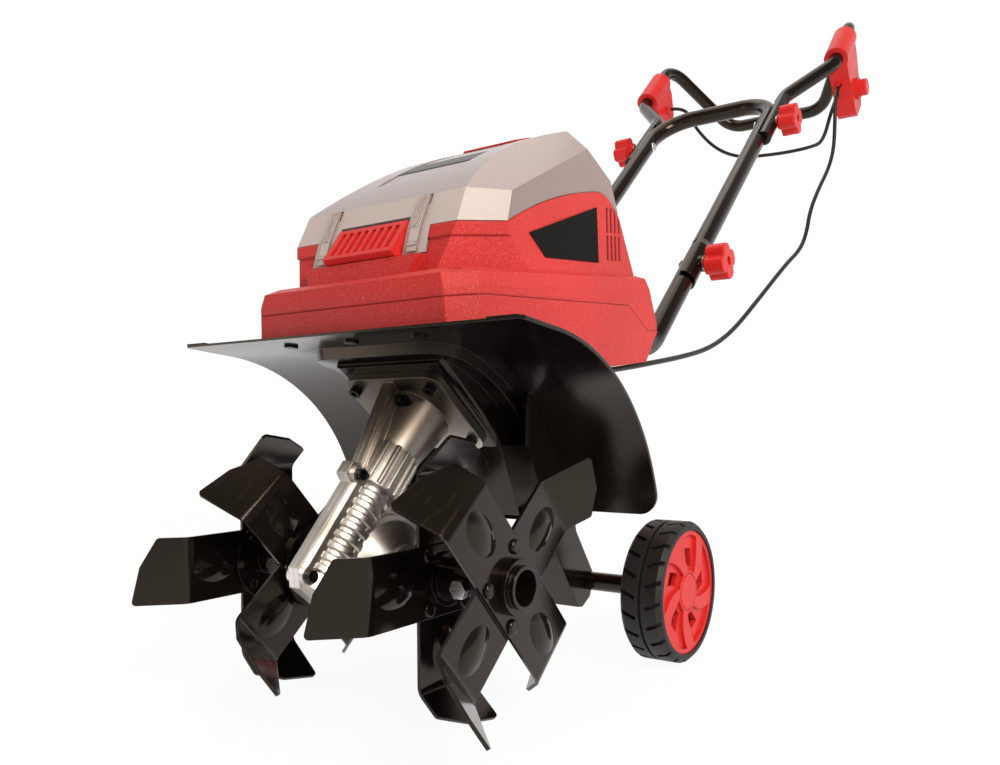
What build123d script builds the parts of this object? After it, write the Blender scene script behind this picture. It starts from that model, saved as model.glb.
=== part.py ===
"""Cordless tiller: separate named pieces, written as parts/NODE.step in millimetres.

Pieces are modelled with the tine shaft at the origin (X to the machine's right,
Y to the rear, Z up) and moved at export so that the tines and tyres stand on Z = 0 and
the machine's length is centred on the origin.
"""
import os
from math import atan2, cos, degrees, pi, radians, sin, sqrt, tan

from build123d import *

os.makedirs("parts", exist_ok=True)

# Tines
BLADE_W = 57.5
BLADE_T = 3.0
FOLD_R = 85.5
BEND_R = 11.0
TIP_LEAD = 45.6
TIP_TRAIL = 24.2
TIP_BOW = 38.5
TIP_BOW_AT = -4.0
TIP_CORNER_R = 3.5
TIP_FOLD = 47.9
TIP_FLOOR_GAP = 0.2
STAR_X = (75.0, 141.4)
STAR_PLUS = 173.5
STAR_CROSS = 124.7
BEAD_L = 42.0
BEAD_W = 27.0
BEAD_H = 3.4
BEAD_EDGE = 0.5
HUB_R = 17.0
HUB_BORE_R = 13.0
HUB_SOCKET_R = 14.0
HUB_START = 44.0
HUB_TAIL = 15.0
HUB_DISC_R = 39.0
HUB_DISC_T = 4.0
HUB_COLLAR_R = 22.0
HUB_COLLARS = (4.0, 8.0)
RIVET_PITCH_R = 30.5
RIVET_R = 3.5
RIVET_HEAD_R = 6.0
RIVET_HEAD_T = 3.0
SHAFT_R = 12.5
SHAFT_HALF = 119.0
HUB_BOLT_R = 4.0
HUB_NUT_T = 6.0
PRESS_GAP = 0.05

# Gear case, in a frame that leans back with the worm shaft
GEAR_LEAN = 43.0
WHEEL_TEETH = 26
WORM_PITCH_R = 9.5
WHEEL_PITCH_R = 39.5
TOOTH_DEPTH = 5.6
TOOTH_FLANK = 14.0
TOOTH_BACKLASH = 2.4
WHEEL_FACE = 10.0
WORM_HALF_L = 26.0
WORM_SHAFT_R = 6.0
WORM_PHASE = 187.0
CASE_WALL = 4.0
DRUM_HALF = 18.0
BOSS_R = 24.0
BOSS_HALF = 37.5
BEARING_R = 18.0
BEARING_W = 9.0
WORM_BEARING_R = 13.0
WORM_BEARING_W = 9.0
CASE_FOOT_U = -57.0
BARREL_U = 46.0
NECK_U = 86.0
NECK_TOP_R = 34.0
FLANGE_U = 133.0
FLANGE_T = 8.0
FLANGE_HALF_W = 55.0
FLANGE_HALF_V = 48.0
FLANGE_BOLT_W = 44.0
FLANGE_BOLT_V = 36.0
FLANGE_CORNER_R = 12.0
SPLIT_HALF_T = 6.0
SPLIT_EDGE = 28.0
SPLIT_RIM = 4.0
SPLIT_STEP = 3.0
SPLIT_NECK_RISE = 16.0
SPLIT_EAR_W = 18.0
SPLIT_EAR_H = 8.5
FOOT_CUT = 11.0
CASE_RIBS = 8
CASE_RIB_U = -36.0
CASE_RIB_STEP = 10.5
CASE_RIB_W = 6.8
CASE_RIB_H = 2.2
BARREL_RIBS = 16
SCREW_R = 2.5

# Motor
MOTOR_R = 42.0
MOTOR_L = 104.0
ARMATURE_R = 25.0
ROTOR_SHAFT_R = 5.0

# Guard
GUARD_HALF_W = 191.0
GUARD_T = 2.0
GUARD_FRONT_Y = -30.2
GUARD_FRONT_Z = 203.8
GUARD_TILT = 12.5
GUARD_FLAT = 50.4
GUARD_R = 184.4
GUARD_SWEEP = 67.5
GUARD_DROP = 22.0
GUARD_FRONT_CORNER_R = 6.0
GUARD_REAR_CORNER_R = 20.0
CHANNEL_HALF_W = 80.0
CHANNEL_DEPTH = 10.0
CHANNEL_FRONT_Y = 16.0
CHANNEL_CORNER_R = 26.0
POCKET_HALF_W = 63.0
POCKET_FRONT_V = 103.0
POCKET_REAR_V = -6.0
POCKET_END_DEPTH = 20.0
POCKET_CORNER_R = 8.0
SIDE_LIP_X = 161.0
SIDE_LIP_H = 1.2
PLAN_L = 1200.0
FRONT_SCREWS_X = (-75.0, 0.0, 75.0)
FRONT_SCREW_S = 27.0
LEG_BOLT_X = 86.0
LEG_BOLT_TURN = 31.0

# Housing
WALL = 2.5
BASE_HALF_W = 127.5
BASE_FRONT_Y = -10.0
BASE_FLOOR_Z = 156.0
PARTING_Z = 224.0
PARTING_GAP = 0.4
PARTING_FLAT_Y = 20.0
PARTING_FALL = 9.5
PARTING_STEP_Y = 253.0
PARTING_STEP_L = 36.0
PARTING_STEP = 36.0
BAND_IN = 2.0
BAND_REAR_IN = 8.0
SHELF_EDGE_IN = 4.6
SHELF_EDGE_REAR_IN = 10.0
SHELF_IN = 13.5
SHELF_REAR_IN = 15.0
SHELF_Z = 246.5
BASE_REAR_Y = 338.0
SHELL_HALF_W = 114.5
SHELL_REAR_Y = 317.0
SHELL_REAR_LEAN = 32.0
SHELL_REAR_H = 65.0
SHELL_FRONT_X = 81.0
SHELL_FRONT_Y = 14.0
SHELL_CORNER_Y = 26.0
SHELL_CORNER_TOP_Y = 54.0
CHEEK_TOP = (68.0, 274.0)
CHEEK_REAR = (103.0, 244.0)
CHEEK_FOOT = (5.0, 70.0)
PANEL_DEPTH = 1.6
PANEL_TOP_Z = 274.0
APRON_TOP_X = 67.0
APRON_LOW_X = 57.0
APRON_TOP = (11.0, 261.8)
APRON_LOW_Y = 6.5
APRON_REAR_Y = 30.0
SEAT_GAP = 0.2
GRILLE_HALF_W = 40.0
GRILLE_SLOTS = 8
GRILLE_LOW = (9.0, 267.0)
GRILLE_TOP = (33.0, 293.0)
GRILLE_SILL = 4.5
LABEL_POINTS = ((102.0, 278.0), (221.0, 310.0), (218.0, 257.0), (124.0, 258.0))
VENT_SLOTS = 4
VENT_Y = 236.0
VENT_STEP = 8.0
VENT_W = 4.0
VENT_LEAN = 0.115
VENT_LOW_Z = 260.0
VENT_TOP_Z = 312.0
VENT_BAR_Z = 284.5
VENT_BAR_H = 3.0
RECESS_X = 101.0
RECESS_Y = 13.0
RECESS_R = 6.0
LID_GAP = 0.5
LID_FRONT = (29.6, 285.0)
LID_BROW = (47.0, 313.6)
LID_PEAK = (246.0, 393.0)
LID_REAR = (266.0, 369.0)
LID_TAIL = (285.0, 337.0)
LID_FRONT_X = 94.0
LID_CHEEK_X = 92.6
LID_CHEEK_Y = 70.0
LID_CROWN = (145.0, 364.5)
LID_SIDE_LEAN = 0.1
LID_TEMPLE = (112.1, 90.0, 314.3)
LID_SHOULDER = (73.0, 193.4, 381.8)
LID_REAR_CORNER = ((92.0, 284.0, 307.0), (113.0, 268.0, 307.0), (109.4, 262.0, 341.0))
LID_REAR_SHOULDER = ((66.0, 250.0, 394.0), (107.0, 229.0, 364.0), (109.4, 262.0, 341.0))
LID_EDGE = ((140.0, 309.4), (232.0, 326.0), (249.0, 320.5), (263.0, 309.0), (284.0, 308.0))
LID_LABEL_Y = 150.0
LID_LABEL_W = 92.0
LID_LABEL_L = 120.0
LID_LABEL_DEEP = 0.8
TRIM_T = 1.2
TRIM_FRONT_Y = 236.0
TRIM_LOW_Z = 330.0
TRIM_HALF_W = 45.0
LID_HINGE_Y = 287.0
LID_HINGE_Z = 304.0
LID_PIN_R = 2.0
LID_KNUCKLE_R = 4.5
TAB_END_X = 66.0
TAB_LOW_Z = 263.0
LATCH_X = 53.0
LATCH_W = 10.0
LATCH_T = 3.4
LATCH_LOW_Z = 265.0
LATCH_TOP_Z = 312.0
LATCH_RIBS = 3
LATCH_RIB_W = 1.2
LATCH_RIB_H = 1.0
LATCH_RIB_STEP = 3.2
LATCH_CATCH_R = 1.8
LATCH_CATCH_Z = 271.0
TRAY_Z = 239.5
TRAY_T = 3.0
TRAY_Y = 160.0
TRAY_L = 260.0
RAIL_X = 24.0
RAIL_L = 110.0
DOCK_H = 25.0
RAIL_H = 6.0
BATTERY_W = 84.0
BATTERY_L = 130.0
BATTERY_H = 58.0
BATTERY_GAP = 12.0
BATTERY_Y = 82.0
BOARD_W = 130.0
BOARD_L = 60.0
BOARD_H = 26.0
BOARD_Y = 262.0
BOARD_FINS = 9

# Wheels
TYRE_R = 64.6
RIM_R = 56.5
WHEEL_OUT_X = 204.0
WHEEL_W = 40.0
WHEEL_Y = 191.0
RIM_VANES = 5
RIM_STEPS = 6
RIM_WALL = 4.5
RIM_DISH = 4.5
RIM_WEB_T = 5.0
WINDOW_IN = 24.0
WINDOW_OUT = 40.0
WINDOW_SPAN = 26.0
VANE_SPAN = 30.0
VANE_LEAD = 34.0
VANE_H = 3.0
RIM_BORE_R = 6.06
HUB_CAP_R = 16.0
AXLE_R = 6.0
TREAD_LUGS = 22
TREAD_GAP = 0.2
TREAD_SLANT = 24.0
TREAD_DEPTH = 3.5
BRACKET_X = 95.0
BRACKET_T = 3.0
LEG_OUTLINE = ((-79.0, 202.6), (-26.0, 170.6), (-16.0, 53.6), (12.0, 1.6), (1.0, -16.4), (-14.0, -22.4),
               (-22.0, -20.4), (-51.0, 35.6), (-87.0, 147.6))
LEG_FLANGE_W = 13.0
LEG_FLANGE_Y = 118.0
LEG_FLANGE_Z = 82.0
CROSS_W = 12.0
CROSS_T = 5.0
CROSS_Y = 154.0
CROSS_Z = 16.4

# Handle
HANDLE_X = 100.0
TUBE_R = 12.5
TUBE_WALL = 1.2
LOWER_TUBE_Z = 173.0
LOWER_TUBE_Y = 215.0
LOWER_BEND_Y = 350.0
LOWER_BEND_R = 45.0
HANDLE_LEAN = 36.0
LOWER_BOLT_S = 158.0
MID_LENGTH = 378.0
MID_PAST = 81.6
MID_CORNER_R = 60.0
LAP_HALF_L = 35.0
LAP_CLEAR = 5.0
LAP_SPLIT = 0.25
LAP_WALL = 2.5
BOLT_SEAT_R = 7.0
CUP_R = 15.0
BOLT_R = 3.0
KNOB_R = 22.0
KNOB_L = 30.0
KNOB_ARM_W = 21.0
KNOB_TURN = 20.0
UPPER_R = 11.0
UPPER_X = 110.0
UPPER_LAP_X = 105.0
UPPER_LAP_T = 14.0
UPPER_TAIL = 48.0
UPPER_STRAIGHT = 92.0
UPPER_FLAT = 68.0
GRIP_X = 170.0
GRIP_LOW_Y = 930.0
GRIP_LOW_Z = 595.0
GRIP_TOP_Y = 1057.0
GRIP_TOP_Z = 694.0
BAR_Y = 1155.0
BAR_Z = 582.0
BAR_X = 90.0
UPPER_BENDS = (45.0, 40.0, 38.0, 45.0)

# Switch boxes and cables
SLEEVE_R = 19.0
SLEEVE_L = 82.0
SLEEVE_START = 16.0
BOX_HALF_T = 15.5
BOX_DEPTH = 105.0
BOX_WALL = 2.5
LEFT_DEPTH = 62.0
BUTTON_R = 13.5
BUTTON_OUT = 18.0
TRIGGER_W = 13.0
TRIGGER_GAP = 0.5
CABLE_R = 3.0
GLAND_X = 95.0
GLAND_Z = 150.0
PIVOT_R = 2.5
BUTTON_U = 32.0
CABLE_V = -43.0
CABLE_X = -2.0
LINK_V = -60.0
LINK_X = -9.0
LEFT_GLAND_U = 34.0
LEFT_GLAND_V = -34.0

# Derived positions
WORM_V = WORM_PITCH_R + WHEEL_PITCH_R
POCKET_U = FLANGE_U + FLANGE_T
MOTOR_U = POCKET_U + GUARD_T + SEAT_GAP
GEAR = Plane(origin=(0, 0, 0), x_dir=(0, cos(radians(GEAR_LEAN)), sin(radians(GEAR_LEAN))), z_dir=(1, 0, 0))


def both(shape):
    """The shape and its mirror image on the machine's left."""
    return shape + mirror(shape, about=Plane.YZ)


def side_prism(points, x0, x1):
    """Polygon in Y and Z, extruded from x0 to x1."""
    return extrude(Plane.YZ.offset(x0) * Polygon(*points, align=None), amount=x1 - x0, dir=(1, 0, 0))


def rod(radius, x0, x1, y, z):
    """Cylinder along X."""
    return Pos((x0 + x1) / 2, y, z) * Rot(0, 90, 0) * Cylinder(radius, abs(x1 - x0))


def gear_rod(radius, u0, u1, v, w):
    """Cylinder along the worm shaft's direction, in the gear case frame."""
    return GEAR.location * Pos((u0 + u1) / 2, v, w) * Rot(0, 90, 0) * Cylinder(radius, u1 - u0)


def gear_cone(r0, r1, u0, u1, v):
    """Cone along the worm shaft's direction, r0 at u0 and r1 at u1."""
    return GEAR.location * Pos((u0 + u1) / 2, v, 0) * Rot(0, 90, 0) * Cone(r0, r1, u1 - u0)


def gear_prism(points, w0, w1):
    """Polygon in the gear case frame, extruded across the machine."""
    return GEAR.location * Pos(0, 0, w0) * extrude(Polygon(*points, align=None), amount=w1 - w0,
                                        dir=(0, 0, 1))


def gear_disc(radius, w0, w1):
    """Cylinder about the tine shaft."""
    return rod(radius, w0, w1, 0, 0)


def gear_plate(half_w, half_v, corner, u0, u1, v):
    """Rounded plate square to the worm shaft."""
    plate = extrude(RectangleRounded(2 * half_w, 2 * half_v, corner), amount=u1 - u0)
    return GEAR.location * Pos(u0, v, 0) * Rot(0, 90, 0) * plate


def cut_by(shape, faces, inset):
    """Keep what lies behind every face; a face is a point and an outward direction."""
    for point, outward in faces:
        direction = Vector(*outward).normalized()
        origin = Vector(*point) - direction * inset
        shape = split(shape, bisect_by=Plane(origin=origin, z_dir=direction), keep=Keep.BOTTOM)
    return shape


def both_faces(faces):
    """Faces on the right side, and the same ones mirrored to the left."""
    mirrored = [((-p[0], p[1], p[2]), (-d[0], d[1], d[2])) for p, d in faces if d[0]]
    return list(faces) + mirrored


def through(a, b, c):
    """Face through three points, pointing away from the machine's middle."""
    normal = (Vector(*b) - Vector(*a)).cross(Vector(*c) - Vector(*a)).normalized()
    if normal.X < 0:
        normal = normal * -1
    return a, (normal.X, normal.Y, normal.Z)


def tube_on(path, radius, wall):
    """Hollow tube along a path."""
    start = Plane(origin=path @ 0, z_dir=path % 0)
    outer = sweep(start * Circle(radius), path=path)
    if wall == 0:
        return outer
    return outer - sweep(start * Circle(radius - wall), path=path)


# Tine stars
def bead_cap(deep):
    """Soft pressed bead, long along X, raised above the XY plane and carried down by deep."""
    across_r = (BEAD_W ** 2 / 4 + BEAD_H ** 2) / (2 * BEAD_H)
    along_r = (BEAD_L ** 2 / 4 + BEAD_H ** 2) / (2 * BEAD_H)
    half = BEAD_L / 2 + 1
    end_z = BEAD_H - along_r + sqrt(along_r ** 2 - half ** 2)
    low = BEAD_H - across_r
    crest = ThreePointArc((-half, end_z), (0, BEAD_H), (half, end_z))
    profile = make_face([crest, Line((half, end_z), (half, low)), Line((half, low), (-half, low)),
                         Line((-half, low), (-half, end_z))])
    barrel = Rot(90, 0, 0) * revolve(profile, axis=Axis((0, low, 0), (1, 0, 0)))
    tall = BEAD_H + 1 + deep
    return barrel & Pos(0, 0, tall / 2 - deep) * Box(3 * half, 2 * BEAD_W, tall)


def strip(angle, x_mid, side):
    """One blade strip whose two ends bend to one side and finish in a slanted tip."""
    half = BLADE_T / 2
    fold = radians(TIP_FOLD)
    take_up = BEND_R * tan(fold / 2)
    flat_end = FOLD_R - take_up
    centre = Vector(flat_end, BEND_R)

    def on_bend(radius, part):
        return centre + Vector(sin(fold * part), -cos(fold * part)) * radius

    outer = BEND_R + half
    inner = BEND_R - half
    profile = make_face([
        Line((0, half), (0, -half)),
        Line((0, -half), (flat_end, -half)),
        ThreePointArc((flat_end, -half), on_bend(outer, 0.5), on_bend(outer, 1)),
        Line(on_bend(outer, 1), on_bend(inner, 1)),
        ThreePointArc(on_bend(inner, 1), on_bend(inner, 0.5), (flat_end, half)),
        Line((flat_end, half), (0, half))])
    side_view = Plane(origin=(x_mid, 0, 0), x_dir=(0, 1, 0), z_dir=(0, 0, -side))
    arm = extrude(side_view * profile, amount=BLADE_W / 2, both=True)
    tip_face = Polygon((take_up, -BLADE_W / 2), (TIP_TRAIL, -BLADE_W / 2), (TIP_BOW, TIP_BOW_AT),
                       (TIP_LEAD, BLADE_W / 2), (take_up, BLADE_W / 2), align=None)
    tip_face = fillet([corner for corner in tip_face.vertices() if corner.X > take_up + 1], TIP_CORNER_R)
    seat = Plane(origin=(x_mid, FOLD_R, 0), x_dir=(side * sin(fold), cos(fold), 0),
                 z_dir=(cos(fold), -side * sin(fold), 0))
    arm = arm + seat.location * extrude(tip_face, amount=half, both=True)
    face = Pos(x_mid + half, flat_end - BEAD_L / 2 - BEAD_EDGE, 0) * Rot(0, 90, 0) * Rot(0, 0, 90)
    arm = arm + face * bead_cap(BEAD_EDGE) - Pos(-BLADE_T, 0, 0) * face * bead_cap(BLADE_T)
    return Rot(angle, 0, 0) * (arm + Rot(180, 0, 0) * arm)


def star(x_mid, start):
    """Two strips crossed at right angles, holed for the hub tube."""
    bore = gear_disc(HUB_R + PRESS_GAP, x_mid - 20, x_mid + 20)
    near = strip(start, x_mid + BLADE_T / 2, -1)
    far_one = strip(start + 90, x_mid - BLADE_T / 2, 1)
    return near + far_one - bore


stars = []
for sign, word in ((1, "right"), (-1, "left")):
    for index, place in enumerate(("inner", "outer")):
        x_star = sign * STAR_X[index]
        begin = STAR_PLUS if (sign > 0) == (index == 0) else STAR_CROSS
        stars.append(("tine_star_" + word + "_" + place, star(x_star, begin), x_star, begin))
tine_boxes = [shape.bounding_box() for node, shape, x_star, begin in stars]

# Where the machine stands, from the lowest and foremost tine tips
TINE_AXIS_Z = TIP_FLOOR_GAP - min(box.min.Z for box in tine_boxes)
WHEEL_Z = TYRE_R - TINE_AXIS_Z
FRAME_Y = (BAR_Y + UPPER_R + min(box.min.Y for box in tine_boxes)) / 2
print("tine axis height", round(TINE_AXIS_Z, 4), "frame shift", round(FRAME_Y, 4))


def save(shape, node):
    """Write one node, moved so that the machine stands on the floor about the origin."""
    export_step(Pos(0, -FRAME_Y, TINE_AXIS_Z) * shape, "parts/" + node + ".step")


HUB_END = STAR_X[1] + HUB_TAIL
hub = gear_disc(HUB_R, HUB_START, HUB_END)
for x_star, collar_t in zip(STAR_X, HUB_COLLARS):
    hub = hub + gear_disc(HUB_DISC_R, x_star - BLADE_T - HUB_DISC_T, x_star - BLADE_T)
    hub = hub + gear_disc(HUB_COLLAR_R, x_star + BLADE_T, x_star + BLADE_T + collar_t)
hub = hub - gear_disc(HUB_BORE_R, HUB_START - 1, HUB_END + 1)
hub = hub - gear_disc(HUB_SOCKET_R, SHAFT_HALF + 1, HUB_END + 1)
HUB_BOLT_X = (STAR_X[0] + STAR_X[1]) / 2
bolt_hole = Pos(HUB_BOLT_X, 0, 0) * Rot(90, 0, 0) * Cylinder(HUB_BOLT_R + PRESS_GAP, 4 * HUB_R)
hub = hub - bolt_hole
shaft = gear_disc(SHAFT_R, -SHAFT_HALF, SHAFT_HALF) - both(bolt_hole)
hubs = {1: hub, -1: mirror(hub, about=Plane.YZ)}

rivets = []
for node, shape, x_star, begin in stars:
    sign = 1 if x_star > 0 else -1
    for quarter in range(4):
        turn = radians(begin + 45 + 90 * quarter)
        y = RIVET_PITCH_R * cos(turn)
        z = RIVET_PITCH_R * sin(turn)
        hole = rod(RIVET_R + PRESS_GAP, x_star - 20, x_star + 20, y, z)
        shape = shape - hole
        hubs[sign] = hubs[sign] - hole
        top = x_star + sign * BLADE_T
        head = rod(RIVET_HEAD_R, top, top + sign * RIVET_HEAD_T, y, z)
        head = fillet(head.edges().sort_by(Axis.X)[-1 if sign > 0 else 0], RIVET_HEAD_T * 0.8)
        rivets.append(head + rod(RIVET_R, x_star - sign * (BLADE_T + HUB_DISC_T), top, y, z))
    save(shape, node)
save(hubs[1], "tine_hub_right")
save(hubs[-1], "tine_hub_left")
save(shaft, "tine_shaft")
save(Compound(rivets), "tine_rivets")

bolt_up = Rot(90, 0, 0) * Cylinder(HUB_BOLT_R, 2 * HUB_R + 12)
bolt_end = Rot(90, 0, 0) * extrude(RegularPolygon(2 * HUB_BOLT_R, 6), amount=HUB_NUT_T / 2, both=True)
nut_out = HUB_R + HUB_NUT_T / 2 + 0.5
hub_bolt = bolt_up + Pos(0, -nut_out, 0) * bolt_end + Pos(0, nut_out, 0) * bolt_end
hub_bolt = Pos(HUB_BOLT_X, 0, 0) * hub_bolt
save(both(hub_bolt), "hub_bolts")

# Worm wheel and worm
PITCH = 2 * pi * WHEEL_PITCH_R / WHEEL_TEETH
LEAD_ANGLE = degrees(atan2(PITCH, 2 * pi * WORM_PITCH_R))
tip_r = WHEEL_PITCH_R + TOOTH_DEPTH * 0.4
root_r = WHEEL_PITCH_R - TOOTH_DEPTH * 0.6
thick = PITCH / 2 - TOOTH_BACKLASH / 2
slope = TOOTH_DEPTH * tan(radians(TOOTH_FLANK))
wheel = gear_disc(root_r, -WHEEL_FACE / 2, WHEEL_FACE / 2)
tooth_face = Polygon((root_r - 1.5, -thick / 2 - slope * 0.6), (tip_r, -thick / 2 + slope * 0.4),
                     (tip_r, thick / 2 - slope * 0.4), (root_r - 1.5, thick / 2 + slope * 0.6), align=None)
tooth = extrude(tooth_face, amount=WHEEL_FACE * 0.6, both=True)
slab = Box(4 * tip_r, 4 * tip_r, WHEEL_FACE)
for index in range(WHEEL_TEETH):
    turn = 360 * index / WHEEL_TEETH
    one = Rot(0, 0, turn) * (Rot(-LEAD_ANGLE, 0, 0) * tooth & slab)
    wheel = wheel + GEAR.location * Rot(0, 0, 90) * one
wheel = wheel + gear_disc(SHAFT_R + 7, -DRUM_HALF + CASE_WALL + 1.5, DRUM_HALF - CASE_WALL - 1.5)
wheel = wheel - gear_disc(SHAFT_R + 0.05, -40, 40)
save(wheel, "worm_wheel")

worm_tip = WORM_PITCH_R + TOOTH_DEPTH * 0.4
worm_root = WORM_PITCH_R - TOOTH_DEPTH * 0.6
thread_path = Helix(pitch=PITCH, height=2 * WORM_HALF_L, radius=worm_root - 0.4, center=(0, 0, -WORM_HALF_L))
profile = Polygon((0, -thick / 2 - slope * 0.6), (worm_tip - worm_root + 0.4, -thick / 2 + slope * 0.4),
                  (worm_tip - worm_root + 0.4, thick / 2 - slope * 0.4), (0, thick / 2 + slope * 0.6),
                  align=None)
thread = sweep(Plane(origin=thread_path @ 0, x_dir=(1, 0, 0), z_dir=thread_path % 0) * profile,
               path=thread_path, is_frenet=True)
thread = thread & Cylinder(worm_tip + 5, 2 * WORM_HALF_L - PITCH * 0.4)
core = Cylinder(worm_root, 2 * WORM_HALF_L)
worm_body = core + thread
worm = GEAR.location * Pos(0, WORM_V, 0) * Rot(0, 90, 0) * Rot(0, 0, WORM_PHASE) * worm_body
WORM_END_U = -WORM_HALF_L - WORM_BEARING_W - 6
worm = worm + gear_rod(WORM_SHAFT_R, WORM_END_U, -WORM_HALF_L + 1, WORM_V, 0)
worm = worm + gear_rod(WORM_SHAFT_R, WORM_HALF_L - 1, MOTOR_U, WORM_V, 0)
save(worm, "worm_shaft")

# Gear case halves
drum_r = tip_r + 2.5 + CASE_WALL
split_v = WORM_V + SPLIT_EDGE
split_low_v = WORM_V - SPLIT_EDGE
tube_r = worm_tip + 2.0 + CASE_WALL
along = GEAR.location * Pos(0, WORM_V, 0) * Rot(0, 90, 0)
ear_u = SPLIT_EAR_W / 2
plate_outline = [(CASE_FOOT_U, WORM_V - 12), (CASE_FOOT_U, split_v - FOOT_CUT),
                 (CASE_FOOT_U + FOOT_CUT, split_v),
                 (BARREL_U - ear_u, split_v), (BARREL_U - ear_u + 3, split_v + SPLIT_EAR_H),
                 (BARREL_U + ear_u - 3, split_v + SPLIT_EAR_H), (BARREL_U + ear_u, split_v),
                 (FLANGE_U, split_v + SPLIT_NECK_RISE),
                 (FLANGE_U, split_low_v), (NECK_U - 14, split_low_v), (BARREL_U - 2, -22), (22, -drum_r - 5),
                 (-22, -drum_r - 5), (-drum_r - 4, -18)]
case = gear_prism(plate_outline, -SPLIT_HALF_T, SPLIT_HALF_T)
rim_face = offset(Polygon(*plate_outline, align=None), amount=-SPLIT_RIM)
rim_half_t = SPLIT_HALF_T + SPLIT_STEP
case = case + GEAR.location * extrude(rim_face, amount=rim_half_t, both=True)
case = case + gear_disc(drum_r, -DRUM_HALF, DRUM_HALF)
cone_l = BOSS_HALF - DRUM_HALF - 6
for sign in (1, -1):
    cone = Pos(sign * (DRUM_HALF + cone_l / 2), 0, 0) * Rot(0, 90 * sign, 0) * Cone(drum_r - 5, BOSS_R,
                                        cone_l)
    case = case + cone
case = case + gear_disc(BOSS_R, -BOSS_HALF, BOSS_HALF)
case = case + gear_rod(tube_r, CASE_FOOT_U + 4, BARREL_U + 4, WORM_V, 0)
case_rib = Cylinder(tube_r + CASE_RIB_H, CASE_RIB_W)
case_rib = fillet(case_rib.edges(), CASE_RIB_H * 0.8)
for index in range(CASE_RIBS):
    case = case + along * Pos(0, 0, CASE_RIB_U + index * CASE_RIB_STEP) * case_rib
barrel_r = tube_r + 6.5
case = case + gear_rod(barrel_r, BARREL_U, NECK_U, WORM_V, 0)
for index in range(BARREL_RIBS):
    angle = radians(360 * (index + 0.5) / BARREL_RIBS)
    case = case + gear_rod(2.0, BARREL_U + 1, NECK_U, WORM_V + barrel_r * cos(angle), barrel_r * sin(angle))
case = case + gear_cone(barrel_r, NECK_TOP_R, NECK_U, FLANGE_U, WORM_V)
case = case + gear_plate(FLANGE_HALF_W, FLANGE_HALF_V, FLANGE_CORNER_R, FLANGE_U, FLANGE_U + FLANGE_T, WORM_V)

cavity_half = DRUM_HALF - CASE_WALL
hollow = gear_disc(drum_r - CASE_WALL, -cavity_half, cavity_half)
hollow = hollow + gear_disc(SHAFT_R + 1, -BOSS_HALF - 1, BOSS_HALF + 1)
seat_in = BOSS_HALF - 2 * BEARING_W + 0.5
for sign in (1, -1):
    hollow = hollow + gear_disc(BEARING_R + PRESS_GAP, sign * seat_in, sign * (BOSS_HALF + 1))
worm_low = -WORM_HALF_L - WORM_BEARING_W - 4
hollow = hollow + gear_rod(WORM_BEARING_R + PRESS_GAP, worm_low, -WORM_HALF_L - 1, WORM_V, 0)
hollow = hollow + gear_rod(worm_tip + 1.5, -WORM_HALF_L - 2, WORM_HALF_L + 4, WORM_V, 0)
hollow = hollow + gear_rod(WORM_SHAFT_R + 2, worm_low - 3, FLANGE_U + FLANGE_T + 1, WORM_V, 0)
neck_in = NECK_U + 12
hollow = hollow + gear_rod(WORM_BEARING_R + PRESS_GAP, neck_in, FLANGE_U + FLANGE_T + 1, WORM_V, 0)
case = case - hollow

split_spots = [(FLANGE_U - 9, WORM_V + NECK_TOP_R - 3), (BARREL_U, WORM_V + 26),
               (CASE_FOOT_U + 11, WORM_V + 18),
               (NECK_U - 20, WORM_V - 24)]
flange_spots = [(v, w) for v in (WORM_V - FLANGE_BOLT_V, WORM_V + FLANGE_BOLT_V)
                for w in (-FLANGE_BOLT_W, FLANGE_BOLT_W)]
screws = []
for u, v in split_spots:
    boss = GEAR.location * Pos(u, v, 0) * Cylinder(7, 2 * rim_half_t)
    case = case + (boss - hollow)
for u, v in split_spots:
    at = GEAR.location * Pos(u, v, 0)
    case = case - at * Cylinder(SCREW_R + PRESS_GAP, 80)
    case = case - at * Pos(0, 0, rim_half_t + 20) * Cylinder(6, 40)
    pin = Cylinder(SCREW_R, 2 * rim_half_t)
    head = Pos(0, 0, rim_half_t + 2.5) * Cylinder(4.6, 5)
    socket = Pos(0, 0, rim_half_t + 5) * extrude(RegularPolygon(2.3, 6), amount=-3)
    screws.append(at * (pin + head - socket))
for v, w in flange_spots:
    case = case - gear_rod(SCREW_R + 0.6, FLANGE_U - 3, FLANGE_U + FLANGE_T + 1, v, w)
    case = case - gear_rod(8, FLANGE_U - 14, FLANGE_U, v, w)
half_space = Pos(200, 0, 0) * Box(400, 800, 800)
save(case & half_space, "gear_case_right")
save(case - half_space, "gear_case_left")

flange_top = MOTOR_U + 7
for v, w in flange_spots:
    at = GEAR.location * Pos(FLANGE_U, v, w) * Rot(0, 90, 0)
    pin = Pos(0, 0, (flange_top - FLANGE_U) / 2) * Cylinder(SCREW_R + 0.5, flange_top - FLANGE_U)
    head = Pos(0, 0, -3) * Cylinder(5.5, 6)
    socket = Pos(0, 0, -6) * extrude(RegularPolygon(3, 6), amount=4)
    nut = Pos(0, 0, flange_top - FLANGE_U) * extrude(RegularPolygon(6, 6), amount=5)
    screws.append(at * (pin + head + nut - socket))


def ring(outer, inner, width):
    """Flat ring about the local Z axis."""
    return Cylinder(outer, width) - Cylinder(inner, width + 1)


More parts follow.
